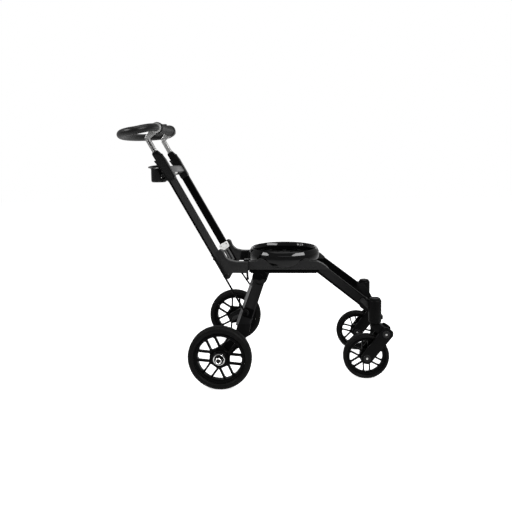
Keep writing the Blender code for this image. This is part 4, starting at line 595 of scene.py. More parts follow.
def make_hub():
    """The glossy ring with its creased outer band, and the liner with its notches, lugs and catches."""
    profile = [
        (HUB_FOOT, HUB_BASE), (0.1412, 0.4525), (0.1450, 0.4590), (0.1476, 0.4645), (0.1490, 0.4695),
        (HUB_OUTER, 0.4750), (HUB_OUTER, 0.4948), (HUB_OUTER - 0.0005, 0.4960), (HUB_OUTER - 0.0014, 0.4966),
        (0.1432, 0.5070), (0.1421, 0.5088), (0.1405, 0.5102), (0.1388, HUB_TOP), (0.1370, 0.5106),
        (0.1356, 0.5096), (0.1346, 0.5080), (0.1303, 0.4975), (0.1298, 0.4955), (0.1298, 0.4775),
        (0.1306, 0.4762), (HUB_INNER, 0.4755), (HUB_INNER, HUB_BASE + HUB_SHELF + 0.001),
        (HUB_INNER - 0.001, HUB_BASE + HUB_SHELF), (HUB_OPENING + 0.001, HUB_BASE + HUB_SHELF),
        (HUB_OPENING, HUB_BASE + HUB_SHELF - 0.001), (HUB_OPENING, HUB_BASE + 0.001),
        (HUB_OPENING + 0.001, HUB_BASE),
    ]
    ring = moved(lathe(profile, 160, "Z"), HUB_X)
    piece("hub_ring_shell", ring, "gloss_black_plastic", "chassis", "hub_ring", smooth=24)
    low = HUB_BASE + HUB_SHELF + GAP
    high, outer, inner = low + 0.012, HUB_INNER - 2 * GAP, HUB_OPENING + 0.002
    profile = [
        (inner, low), (outer, low), (outer, high - 0.0012), (outer - 0.0012, high), (outer - 0.0050, high),
        (outer - 0.0056, high - 0.0012), (outer - 0.0072, high - 0.0012), (outer - 0.0078, high),
        (inner + 0.0065, high), (inner + 0.0050, high - 0.0008), (inner, high - 0.0060),
    ]
    notches = []
    for number in range(12):
        notch = bmesh.new()
        bmesh.ops.create_cube(notch, size=1.0)
        bmesh.ops.scale(notch, verts=notch.verts, vec=(0.010, 0.013, 0.006))
        notches.append(turned(moved(notch, inner + 0.0015, 0, high), number * 30 + 15, "Z"))
    liner = worked(lathe(profile, 144, "Z"), [joined(*notches)])
    piece("hub_liner_ring", moved(liner, HUB_X), "matte_black_plastic", "chassis", "hub_liner")
    fittings = []
    for turn in (20, 160, 200, 340):
        lug = lathe([(0, 0), (0.0042, 0), (0.0042, 0.0016), (0.0034, 0.0024), (0, 0.0024)], 20, "Z")
        fittings.append(turned(moved(lug, outer - 0.0135, 0, high - 0.0002), turn, "Z"))
    reach = HUB_INNER - 0.0125
    for half_length, heights, half_width, place, turn in (
        (0.006, (0.006, 0.009), 0.006, -reach, 8), (0.004, (0.007, 0.007), 0.009, reach, 90),
    ):
        corners = [(-half_length, 0, 0.001), (half_length, 0, 0.001), (half_length, heights[0], 0.002),
                   (-half_length, heights[1], 0.003 if turn == 8 else 0.002)]
        catch = slab(corners, -half_width, half_width, 1, 0.0012)
        fittings.append(turned(moved(catch, place, 0, high - 0.001), turn, "Z"))
    piece("hub_liner_catches", moved(joined(*fittings), HUB_X), "smooth_black_plastic", "chassis")


# ---------- beams, front legs and elbows ----------

def make_beam(label, side):
    """A beam's cover with its wings and its cradle for the ring, a near-black strip of painted shade under it,
    a thin line of painted shade on its face, and the front leg, near-black as painted shade with a grey slab on
    its face.
    """
    top = BEAM_TOP
    crest, flank, cradle = top + 0.0107, top + 0.0085, top - 0.0026
    outline = [
        (BEAM_REAR, COVER_LOW, 0.002), (COVER_TIP, COVER_LOW, 0.001),
        (COVER_TIP - 0.003, COVER_LOW + 0.004, 0.004), (0.4115, top - 0.0135, 0.020),
        (0.3860, top - 0.0006, 0.020), (0.3590, top, 0.012), (0.3440, crest, 0.006), (0.3300, flank, 0.008),
        (0.3085, cradle, 0.006), (0.1865, cradle, 0.006), (0.1650, flank, 0.008), (0.1510, crest, 0.006),
        (0.1360, top, 0.012), (BEAM_REAR, top, 0.002),
    ]
    room = [
        (0, HUB_BASE - 0.0012), (HUB_FOOT, HUB_BASE - 0.0012), (0.1418, 0.4520), (0.1457, 0.4587),
        (0.1483, 0.4642), (0.1497, 0.4694), (0.1502, 0.4750), (0.1502, 0.55), (0, 0.55),
    ]
    room = moved(lathe(room, 120, "Z"), HUB_X)
    shape = worked(slab(outline, BEAM_INNER, BEAM_OUTER, side, 0.0032, 3), [room])
    piece(f"beam_cover_{label}", shape, "satin_charcoal_paint", "chassis", f"side_beam_{label}")
    # The front leg is near-black as painted shade under the cover's overhang and on its unlit sides; the grey
    # slab built next lies on its face.
    softened(f"front_leg_{label}", "deep_black_paint", "chassis", 0.0016)
    bend, along, up, reach = front_leg_line()
    ends = [bend + along * 0.004 + up * 0.0095, bend + along * (reach - 0.004) + up * 0.0085,
            bend + along * (reach - 0.004) + up * 0.0330, bend + along * 0.030 + up * 0.0385,
            Vector((COVER_TIP - 0.012, 0, COVER_LOW - 0.0012)), Vector((0.3900, 0, COVER_LOW - 0.0012))]
    shape = push(flat([(p.x, p.z) for p in ends]), Vector((0, 0.0012, 0)))
    everything = shape.verts[:] + shape.edges[:] + shape.faces[:]
    bmesh.ops.bisect_plane(shape, geom=everything, plane_co=bend + along * 0.05, plane_no=along)
    low_across, high_across = BEAM_MIDDLE + 0.0120, FRONT_LEG_FOOT + 0.0120
    for vert in shape.verts:
        done = min(max((vert.co.x - bend.x) / (along.x * reach), 0), 1)
        vert.co.y += low_across + (high_across - low_across) * done - 0.0003
    rims = [e for e in shape.edges if e.calc_face_angle(0) > 1.2 and e.calc_length() > 0.002]
    rounded_edges(shape, rims, 0.0004, 1)
    piece(f"front_leg_face_{label}", mirrored(shape, side), "shaded_grey_paint", "chassis")
    # A near-black strip along the cover's lower edge: painted shade beneath the beam.
    rear, low, high = BEAM_REAR + 0.010, BEAM_LOW - 0.0036, BEAM_LOW + 0.0004
    under = slab([(rear, low, 0.002), (0.3785, low, 0.006), (0.3845, high, 0.0), (rear, high, 0.0)],
                 BEAM_INNER + 0.004, BEAM_OUTER - 0.0035, side, 0.001, 2)
    piece(f"beam_under_shade_{label}", under, "deep_black_paint", "chassis")
    # A thin dark line along the cover's face: painted shade.
    low, high = COVER_LOW + 0.0075, COVER_LOW + 0.0088
    crease = slab([(0.1130, low, 0.003), (0.4050, low, 0.003), (0.4010, high, 0.001), (0.1130, high, 0.001)],
                  BEAM_OUTER - 0.001, BEAM_OUTER + 0.0004, side, 0.0003, 1)
    piece(f"beam_shade_line_{label}", crease, "smooth_black_plastic", "chassis")


def make_elbow(label, side):
    """An elbow: a rounded horn in front of the leg, the cheek round its pivot, and the beam's end."""
    front, end = LEG_DEPTH / 2, BEAM_REAR - GAP
    outline = [
        leg_corner(front - 0.002, HORN_HEIGHT - 0.003, 0.001), leg_corner(-0.002, 0.024, 0.001),
        *[(x, z, 0) for x, z in arc((PIVOT_X, PIVOT_Z), 0.0165, 170, 322, 16)],
        (PIVOT_X + 0.023, BEAM_LOW + 0.001, 0.008), (end, BEAM_LOW, 0.0015), (end, BEAM_TOP, 0.0015),
        (PIVOT_X + 0.036, BEAM_TOP + 0.0005, 0.02), (PIVOT_X + 0.012, BEAM_TOP + 0.006, 0.02),
        leg_corner(front + 0.0135, HORN_HEIGHT - 0.039, 0.05),
        leg_corner(front + HORN_DEPTH - 0.004, HORN_HEIGHT - 0.011, 0.009),
        leg_corner(front + 0.008, HORN_HEIGHT, 0.007),
    ]
    d, w = front + RUNNING, LEG_WIDTH / 2
    room = prism([(-d, 0.3), *arc((0, 0), d, 180, 360, 16), (d, 0.3)], -w - 0.01, w + RUNNING, side)
    shape = worked(slab(outline, LEG_INNER, CHEEK_OUTER, side, 0.0035, 3), [on_leg(room, side)])
    # A near-black sheet on the elbow's inner face, over the beam's end: painted shade on the inner side.
    web = slab([(PIVOT_X + 0.026, BEAM_LOW + 0.004, 0.008), (BEAM_REAR - 0.002, BEAM_LOW + 0.003, 0.002),
                (BEAM_REAR - 0.002, BEAM_TOP - 0.002, 0.002), (PIVOT_X + 0.034, BEAM_TOP - 0.001, 0.010)],
               LEG_INNER - 0.0006, LEG_INNER + 0.002, side, 0.0004, 1)
    piece(f"elbow_inner_shade_{label}", web, "deep_black_plastic", "chassis")
    piece(f"elbow_shell_{label}", shape, "satin_charcoal_paint", "chassis", f"elbow_{label}")
    head = lathe([(0, 0), (0.0098, 0), (0.0098, 0.0012), (0.0085, 0.0024), (0.0062, 0.0024),
                  (0.0056, 0.0016), (0, 0.0016)], 36)
    key = bar((0, 0.0004, 0), (0, 0.004, 0), 0.0030, 6)
    head = mirrored(moved(worked(head, [key]), PIVOT_X, CHEEK_OUTER + GAP, PIVOT_Z), side)
    pin = bar((PIVOT_X, side * (LEG_INNER - 0.004), PIVOT_Z), (PIVOT_X, side * (CHEEK_OUTER + 0.001), PIVOT_Z),
              0.005, 20, 0.0008)
    piece(f"fold_pin_head_{label}", joined(head, pin), "smooth_black_plastic", "chassis", f"fold_pin_{label}")


# ---------- handle ----------

def strut_bore():
    """The room that a strut slides in, in a handle leg's own axes."""
    return leg_bar(STRUT_DEPTH + 0.0020, STRUT_WIDTH + 0.0020, 0.0052, 0.12, 0.62, STRUT_BACK)


def make_leg(label, side):
    """A handle leg's outer tube, near-black as painted shade, with its rounded end, the link rod's stud, and
    its grey outer face, which stands for its lit side.
    """
    d, w = LEG_DEPTH / 2, LEG_WIDTH / 2
    tube = worked(leg_bar(LEG_DEPTH, LEG_WIDTH, 0.0042, 0.0, LEG_LENGTH), [strut_bore()])
    foot = prism(arc((0, 0), d, 180, 360, 20), -w, w, 1, 0.0025, 3)
    stud = bar((-STUD_BACK, w - 0.003, STUD_AT), (-STUD_BACK, w + 0.0048, STUD_AT), 0.0025, 20, 0.0004)
    # The tube's near-black is painted shade on its rear strip, inner faces and ends; the grey slab on its outer
    # face is the lit side.
    leg_piece(f"leg_tube_{label}", joined(tube, foot, stud), side, "deep_black_paint",
              stands_for=f"handle_leg_{label}")
    cap = lathe([(0, 0), (0.0042, 0), (0.0042, 0.0008), (0.0034, 0.0014), (0, 0.0014)], 20)
    cap = moved(cap, -STUD_BACK, w + 0.0052, STUD_AT)
    leg_piece(f"leg_stud_cap_{label}", cap, side, "smooth_black_plastic")
    face = oblong(-d + 0.0088, d - 0.0012, 0.004, SLEEVE_START - 0.005, 0.001)
    face = leg_slab(face, w - 0.0006, w + 0.0004, side, 0.0004, 1)
    piece(f"leg_face_{label}", face, "satin_grey_paint", "handle")


def make_sleeve(label, side):
    """The moulded sleeve: rounded shoulder, a panel and a grey line on its face, foot, mouth and screws."""
    d, low, top, w = SLEEVE_DEPTH / 2, SLEEVE_START, SLEEVE_TOP, SLEEVE_WIDTH / 2
    outline = [
        (-d, low, 0.004), (d, low, 0.004), (d, top - 0.044, 0.010), (d - 0.0030, top - 0.026, 0.012),
        (d - 0.0075, top - 0.0105, 0.008), (0.0072, top, 0.003), (-d, top, 0.006),
    ]
    shell = worked(slab(outline, -w, w, 1, 0.0045, 4), [strut_bore()])
    leg_piece(f"sleeve_shell_{label}", shell, side, "caster_black_plastic", stands_for=f"leg_sleeve_{label}")
    panel = [(-d + 0.0085, low + 0.0050, 0.003), (d - 0.0052, low + 0.0010, 0.004),
             (d - 0.0052, top - 0.046, 0.012), (d - 0.0110, top - 0.018, 0.010),
             (-d + 0.0030, top - 0.004, 0.006), (-d + 0.0030, top - 0.040, 0.010)]
    panel = leg_slab(panel, w - 0.001, w + 0.0007, side, 0.0006, 2)
    piece(f"sleeve_panel_{label}", panel, "matte_black_plastic", "handle")
    trim = [(d - 0.0042, low + 0.002, 0.0005), (d - 0.0030, low + 0.002, 0.0005),
            (d - 0.0030, top - 0.046, 0.004), (d - 0.0072, top - 0.0235, 0.004),
            (d - 0.0084, top - 0.0240, 0.002), (d - 0.0042, top - 0.047, 0.004)]
    trim = leg_slab(trim, w - 0.0022, w - 0.0004, side, 0.0003, 1)
    piece(f"sleeve_trim_{label}", trim, "satin_grey_paint", "handle")
    foot = leg_bar(SLEEVE_DEPTH - 0.0015, SLEEVE_WIDTH - 0.0015, 0.005, low - 0.0045, low + 0.001)
    piece(f"sleeve_foot_{label}", on_leg(worked(foot, [strut_bore()]), side), "smooth_black_plastic", "handle")
    mouth = leg_bar(STRUT_DEPTH + 0.0055, STRUT_WIDTH + 0.0055, 0.0055, top - 0.001, top + 0.0022, STRUT_BACK)
    leg_piece(f"sleeve_mouth_{label}", worked(mouth, [strut_bore()]), side, "smooth_black_plastic")
    for number, up in enumerate((low + 0.016, low + 0.094)):
        screw = moved(bolt_head(0.0028, 0.0009), -0.001, w + 0.0006, up)
        leg_piece(f"sleeve_screw_{label}_{number}", screw, side, "matte_black_plastic")


def make_crossbar():
    """The bar between the sleeves, with its button and slider."""
    at, half_height, depth = CROSSBAR_AT, 0.017, 0.0132
    back, front = 0.0072 - depth / 2, 0.0072 + depth / 2
    corners = [(back, at - half_height, 0.003), (front, at - half_height, 0.003),
               (front, at + half_height - 0.009, 0.005), (front - 0.008, at + half_height, 0.004),
               (back, at + half_height, 0.003)]
    reach = SLEEVE_INNER - GAP
    piece("crossbar_body", prism(leg_outline(corners), -reach, reach, 1, 0.0012, 2), "grey_plastic", "handle",
          "leg_crossbar")
    for name, low, high, back, front, near, far, look in (
        ("crossbar_button", at - 0.0225, at - 0.0155, -0.0020, 0.0120, -0.062, -0.030, "white_plastic"),
        ("crossbar_slider", at - 0.0240, at - 0.0160, -0.0040, 0.0100, -0.028, 0.060, "deep_black_paint"),
    ):
        corners = [(back, low, 0.001), (front, low, 0.002), (front, high, 0.001), (back, high, 0.001)]
        piece(name, prism(leg_outline(corners), near, far, 1, 0.0010, 2), look, "handle")


def make_cup_holder():
    """The cup with its flared lip, its arm to the right sleeve, and its clip with a wire."""
    low, high, r, out = CUP_FLOOR + 0.002, CUP_TOP, CUP_RADIUS - 0.0030, CUP_RADIUS + CUP_LIP
    profile = [
        (0, low + 0.001), (r - 0.012, low + 0.001), (r - 0.011, low), (r - 0.0066, low),
        (r - 0.0030, low + 0.0012), (r - 0.0008, low + 0.0042), (r, low + 0.0085), (r, high - 0.010),
        (r - 0.0006, high - 0.0094), (r - 0.0006, high - 0.0084), (r, high - 0.0078), (r, high - 0.0015),
        (r - 0.0012, high), (r - 0.0030, high), (r - 0.0030, low + 0.007), (r - 0.006, low + 0.003),
        (0, low + 0.003),
    ]
    cup = moved(lathe(profile, 72, "Z"), CUP_X + 0.0005, CUP_Y)
    piece("cup_body", cup, "smooth_black_plastic", "handle", "cup_holder")
    lip = [
        (r - 0.0040, -0.0040), (r - 0.0005, -0.0040), (r + 0.0030, -0.0012), (out - 0.0030, 0.0008),
        (out - 0.0006, 0.0016), (out, 0.0028), (out - 0.0008, 0.0042), (out - 0.0034, 0.0044),
        (r + 0.0026, 0.0036), (r - 0.0006, 0.0012), (r - 0.0040, -0.0012),
    ]
    lining = [
        (r - 0.0046, -0.0030), (r - 0.0042, -0.0030), (r - 0.0004, 0.0016), (out - 0.0050, 0.0046),
        (out - 0.0054, 0.0050), (r - 0.0008, 0.0022),
    ]
    for name, profile, look in (
        ("cup_lip", lip, "smooth_black_plastic"), ("cup_lip_lining", lining, "grey_plastic"),
    ):
        rim = turned(turned(lathe(profile, 72, "Z"), -9, "X"), -4)
        piece(name, moved(rim, CUP_X + 0.0005, CUP_Y, high + 0.0040), look, "handle")
    back, front, low = -SLEEVE_DEPTH / 2 - 0.021, -SLEEVE_DEPTH / 2 + 0.013, SLEEVE_START
    near, far = -CUP_Y + r * 0.30, SLEEVE_INNER - GAP
    arm = leg_outline([(back, low + 0.006, 0.005), (front, low + 0.006, 0.004), (front, low + 0.038, 0.004),
                       (back, low + 0.038, 0.008)])
    back, front = back - 0.0005, front + 0.0005
    strap = leg_outline([(back, low + 0.014, 0.003), (front, low + 0.019, 0.003), (front, low + 0.027, 0.003),
                         (back, low + 0.022, 0.003)])
    shape = joined(prism(arm, near, far, -1, 0.0022, 3), prism(strap, near - 0.001, far, -1, 0.0008, 2))
    piece("cup_arm", shape, "smooth_black_plastic", "handle")
    run = CLIP_FOOT - CLIP_TOP
    wide = Vector((run.y, -run.x)).normalized() * 0.0130 / 2
    clip = [(place.x, place.y, 0.004)
            for place in (CLIP_TOP - wide, CLIP_FOOT - wide, CLIP_FOOT + wide, CLIP_TOP + wide)]
    near = -CUP_Y + r + 0.0005
    across = -near - 0.0034
    piece("cup_clip", slab(clip, near - 0.006, near + 0.0030, -1, 0.0012, 2), "deep_black_paint", "handle")
    bars = []
    for run in (((-0.2560, 0.8560), (-0.2490, 0.8480), (-0.2480, 0.8400)),
                ((-0.2530, 0.8170), (-0.2440, 0.8240), (-0.2400, 0.8330))):
        for (x, z), (next_x, next_z) in zip(run, run[1:]):
            bars.append(bar((x, across, z), (next_x, across, next_z), 0.0011, 12, 0.0003))
    piece("cup_clip_wire", joined(*bars), "steel", "handle")


def make_lever(label, side):
    """The adjusting lever behind a sleeve, with finger ribs."""
    face, low, tip, thick, gap = -SLEEVE_DEPTH / 2 - GAP, LEVER_LOW, LEVER_TIP, 0.0034, 0.0034
    back = face - gap - thick
    outline = [
        (face, low, 0.0), (face - gap, tip - 0.006, 0.001), (face - gap, tip, 0.0008),
        (back - 0.002, tip - 0.001, 0.0015), (back, tip - 0.009, 0.003), (face - thick, low, 0.0015),
    ]
    parts = [slab(outline, -0.008, 0.008, 1, 0.0008, 2)]
    for number in range(4):
        up = tip - 0.012 - number * 0.0035
        rib = oblong(back - 0.0004, back + 0.0016, up, up + 0.0014, 0.0)
        parts.append(slab(rib, -0.0058, 0.0058, 1, 0.0003, 1))
    leg_piece(f"lever_body_{label}", joined(*parts), side, "matte_black_plastic", f"adjust_{label}",
              f"adjust_lever_{label}")


def make_latch(label, side):
    """The bright latch block on a leg's inner face, its grey bar and slide, and its rivets."""
    inner = -LEG_WIDTH / 2 - GAP
    block = [(-0.010, 0.072, 0.002), (0.017, 0.075, 0.002), (0.021, 0.081, 0.003), (0.021, 0.103, 0.003),
             (-0.026, 0.103, 0.003), (-0.020, 0.075, 0.003)]
    strip = [(-0.010, 0.012, 0.004), (0.010, 0.012, 0.004), (0.010, 0.0745, 0.001), (-0.010, 0.0745, 0.001)]
    groove = oblong(-0.0035, 0.0035, 0.020, 0.068, 0.002)
    for name, corners, near, far, edge, steps, look, stands_for in (
        ("block", block, inner - 0.008, inner, 0.0014, 3, "bright_metal", f"leg_latch_{label}"),
        ("bar", strip, inner - 0.0062, inner, 0.0010, 2, "grey_plastic", ()),
        ("slide", groove, inner - 0.0076, inner - 0.005, 0.0006, 2, "smooth_black_plastic", ()),
    ):
        shape = leg_slab(corners, near, far, side, edge, steps)
        piece(f"latch_{name}_{label}", shape, look, "handle", stands_for)
    for number, (forward, up) in enumerate(((-0.014, 0.094), (0.012, 0.094))):
        head = moved(turned(bolt_head(0.0030, 0.0012), 180, "Z"), forward, inner - 0.0078, up)
        leg_piece(f"latch_rivet_{label}_{number}", head, side, "steel")


# ---------- grip ----------

def make_strut(label, side):
    """The bright inner tube with its centre line, the neck and the collar round the bar."""
    d, w, h, r = STRUT_DEPTH / 2, STRUT_WIDTH / 2, COLLAR_WIDTH / 2, COLLAR_RADIUS
    section = [
        (-d, -w, 0.0045), (d, -w, 0.0045), (d, w, 0.0045), (0.0030, w, 0.0008), (0.0026, w - 0.0024, 0.0),
        (-0.0014, w - 0.0024, 0.0), (-0.0018, w, 0.0008), (-d, w, 0.0045),
    ]
    tube = moved(upright(section, NECK_AT + 0.004 - STRUT_LOW), -STRUT_BACK, 0, STRUT_LOW)
    neck = [leg_corner(-STRUT_BACK - d, NECK_AT + 0.010, 0.002), leg_corner(-STRUT_BACK + d, NECK_AT, 0.002),
            (BAR_X + 0.0125, BAR_Z - 0.012, 0.004), (BAR_X - 0.0185, BAR_Z, 0.006)]
    neck = slab(neck, LEG_SPACING - w + 0.0004, LEG_SPACING + w - 0.0004, side, 0.0035, 3)
    ring = [(0.010, h), (r - 0.0016, h), (r - 0.0004, h - 0.0006), (r, h - 0.0016), (r, 0.0008),
            (r - 0.0006, 0.0004)]
    collar = moved(lathe(both_ways(ring), 64), BAR_X, side * LEG_SPACING, BAR_Z)
    shape = joined(on_leg(mirrored(tube, side), side), neck, collar)
    piece(f"strut_tube_{label}", shape, "silver_metal", "grip", f"strut_{label}")
    strip = [(0.0024, -0.0005, 0.0), (0.0024, 0.0003, 0.0002), (-0.0012, 0.0003, 0.0002),
             (-0.0012, -0.0005, 0.0)]
    channel = moved(upright(strip, NECK_AT - STRUT_LOW - 0.016), -STRUT_BACK, w - 0.0024, STRUT_LOW + 0.01)
    leg_piece(f"strut_channel_{label}", channel, side, "deep_black_paint", "grip")


def grip_height(x):
    """How high the loop's middle line is away from the collars."""
    return BAR_Z - 0.0095 + (x - BAR_X) * 0.12


def loop_line(corner_steps, rear_steps):
    """The loop's middle line: out from a collar, down and round the side, and across the rear."""
    start = LEG_SPACING + COLLAR_WIDTH / 2 + GAP
    front, out, rear = BAR_X - WAIST_X, LOOP_HALF - start, LOOP_REAR - LOOP_RADIUS + WAIST_X
    corner = []
    for step in range(corner_steps + 1):
        done = step / corner_steps
        turn = math.pi / 2 * done
        x = WAIST_X + front * math.cos(turn)
        ease = done * done * (3 - 2 * done)
        corner.append(Vector((x, start + out * math.sin(turn), BAR_Z * (1 - ease) + grip_height(x) * ease)))
    back = []
    for step in range(1, rear_steps):
        turn = math.pi * step / rear_steps
        x = WAIST_X - rear * math.sin(turn)
        back.append(Vector((x, LOOP_HALF * math.cos(turn), grip_height(x))))
    return corner + back + [Vector((p.x, -p.y, p.z)) for p in reversed(corner)]


def along_line(line):
    """A place with its own axes for each point of a line: Z along it, Y up."""
    places = []
    for number, here in enumerate(line):
        ahead = line[min(number + 1, len(line) - 1)] - line[max(number - 1, 0)]
        if number in (0, len(line) - 1):
            ahead = Vector((0, 1, 0))
        ahead.normalize()
        out = ahead.cross(Vector((0, 0, 1))).normalized()
        up = out.cross(ahead).normalized()
        places.append(Matrix.Translation(here) @ Matrix((out, up, ahead)).transposed().to_4x4())
    return places


def make_loop():
    """The leather loop with its inner seam and its stitches."""
    line, r, pitch = loop_line(18, 64), LOOP_RADIUS, 0.0062
    section = []
    for x, y in arc((0, 0), r, 0, 360, 40)[:-1]:
        dip = 0.0011 * math.exp(-((math.atan2(y, x) + math.pi / 2) / 0.10) ** 2)
        section.append((x * (1 - dip / r), y * (1 - dip / r)))
    piece("loop_leather", swept(section, along_line(line)), "black_leather", "grip", "grip_loop")
    stitches = []
    total = 0.0
    for before, after in zip(line, line[1:]):
        run = (after - before).length
        ahead = (after - before).normalized()
        out = ahead.cross(Vector((0, 0, 1))).normalized()
        up = out.cross(ahead).normalized()
        while total <= run:
            here = before.lerp(after, total / run)
            for lean in (-0.2, 0.2):
                middle = here + (out * math.sin(lean) - up * math.cos(lean)) * (r - 0.0002)
                stitches.append(bar(middle - ahead * 0.0016, middle + ahead * 0.0016, 0.00038, 5))
            total += pitch
        total -= run
    piece("loop_stitches", joined(*stitches), "stitching_thread", "grip")


def make_grip_bar():
    """The bar across the front of the grip, its two wide bands and their fine grooves."""
    far = LEG_SPACING - COLLAR_WIDTH / 2 - GAP
    near, r = far - BAND_WIDTH, BAND_RADIUS
    half = [
        (0.0212, near - 0.008), (0.0216, near - 0.0045), (0.0216, near - 0.001), (r - 0.0012, near - 0.0005),
        (r - 0.0012, near + 0.0008), (r, near + 0.0032), (r, near + 0.006), (r - 0.0005, near + 0.0064),
        (r - 0.0005, near + 0.0072), (r, near + 0.0076), (r, far - 0.0076), (r - 0.0005, far - 0.0072),
        (r - 0.0005, far - 0.0064), (r, far - 0.006), (r, far - 0.0032), (r - 0.0012, far - 0.0008),
        (r - 0.004, far),
    ]
    shape = lathe(both_ways([(0, far), *reversed(half), (0.0206, 0.02)]), 72)
    piece("grip_bar_tube", moved(shape, BAR_X, 0, BAR_Z), "grip_black_plastic", "grip", "grip_bar")
    button = upright(oblong(-0.0125, 0.0125, -0.0095, 0.0095, 0.004), 0.004)
    rounded_edges(button, level_edges(button), 0.0010, 2)
    piece("grip_bar_button", moved(button, BAR_X, 0, BAR_Z + 0.0180), "matte_black_plastic", "grip")


# ---------- wheels ----------

def make_tyre(name, node_name, x, radius, across, height, width, body, lugs):
    """A rubber tyre: rounded sidewalls with a moulded line, and a flat tread with grooves and cross cuts."""
    inner, half = radius - height, width / 2
    side = [
        (inner, half * 0.72), (inner + height * 0.05, half * 0.80), (inner + height * 0.16, half * 0.93),
        (inner + height * 0.30, half), (inner + height * 0.42, half), (inner + height * 0.44, half * 0.975),
        (inner + height * 0.47, half * 0.975), (inner + height * 0.49, half * 0.995),
        (radius - height * 0.32, half * 0.93), (radius - height * 0.17, half * 0.80),
        (radius - height * 0.06, half * 0.60), (radius, half * 0.40), (radius, half * 0.22),
        (radius - 0.0012, half * 0.18), (radius - 0.0012, half * 0.10), (radius, half * 0.06),
    ]
    shape = lathe(both_ways(side), lugs * 3)
    cuts = []
    for face in shape.faces:
        middle = face.calc_center_median()
        out = math.hypot(middle.x, middle.z)
        if radius - height * 0.30 < out < radius - height * 0.03 and abs(middle.y) > half * 0.5:
            turn = (math.degrees(math.atan2(middle.z, middle.x)) + 360) % 360
            if int(turn / 360 * lugs * 3 + 0.5) % 3 == 0:
                cuts.append(face)
    bmesh.ops.inset_region(shape, faces=cuts, thickness=0.0004, depth=-0.0009, use_even_offset=True)
    piece(name, moved(shape, x, across, radius), "tyre_rubber", body, node_name, smooth=40)


def make_rim(name, node_name, x, across, wheel, sizes, start, body):
    """A rim with six pairs of parallel spokes, rounded windows and a stepped hub."""
    tyre, rim, rim_width, hub, hub_width, gap, thick, depth, bore = sizes
    outer, window = wheel - tyre - GAP, wheel - tyre - rim
    half, web, end = rim_width / 2, depth / 2, hub_width / 2
    disc = lathe([
        (bore, -end), (hub * 0.60, -end), (hub * 0.64, -end + 0.0012), (hub * 0.80, -end + 0.0012),
        (hub * 0.86, -end), (hub * 0.90, -end + 0.0014), (hub * 0.97, -web - 0.002), (hub + 0.001, -web),
        (window + 0.004, -web), (window + 0.004, web), (hub + 0.001, web), (hub * 0.97, web + 0.002),
        (hub * 0.90, end - 0.0014), (hub * 0.86, end), (bore, end),
    ], 96)
    inner = math.hypot(hub, gap / 2) + 0.001
    reach = math.degrees(math.asin(gap / 2 / window))
    lip = gap / 2 + thick
    turn_out = math.degrees(math.asin(lip / window))
    tip = max(lip / math.sin(math.radians(30)), hub + 0.002)
    cutters = []
    for number in range(6):
        openings = (
            ([(inner, gap / 2, 0.0035), (inner, -gap / 2, 0.0035)], (-reach, reach, 8), 0),
            ([(tip, 0, 0.003)], (turn_out - 30, 30 - turn_out, 10), 30),
        )
        for corners, (first, last, steps), add in openings:
            curve = [(a, b, 0) for a, b in arc((0, 0), window, first, last, steps)]
            curve[0], curve[-1] = (*curve[0][:2], 0.003), (*curve[-1][:2], 0.003)
            cutters.append(turned(prism(eased(corners + curve, 4), -0.03, 0.03), number * 60 + add + start))
    disc = worked(disc, [joined(*cutters)])
    walls = [e for e in disc.edges if len(e.link_faces) == 2 and e.calc_face_angle(0) > math.radians(60)
             and all(abs(abs(vert.co.y) - web) < 1e-5 for vert in e.verts)]
    rounded_edges(disc, walls, 0.0009, 2)
    barrel = lathe(both_ways([
        (window, web * 0.6), (window, half - 0.0035), (window + 0.0012, half - 0.001), (window + 0.003, half),
        (outer - 0.0022, half), (outer - 0.0008, half - 0.0006), (outer, half - 0.002),
    ]), 120)
    ribs = []
    near, far = window - 0.004, outer - 0.003
    for number in range(6):
        for offset in (-1, 1):
            middle = offset * (gap + thick) / 2
            low, high = middle - thick / 2, middle + thick / 2
            rib = slab([(near, low, 0.001), (far, low, 0.002), (far, high, 0.002), (near, high, 0.001)],
                       -half - 0.0007, half + 0.0007, 1, 0.0008, 2)
            ribs.append(turned(rib, number * 60 + start))
    piece(name, moved(joined(disc, barrel, *ribs), x, across, wheel), "rim_plastic", body, node_name)


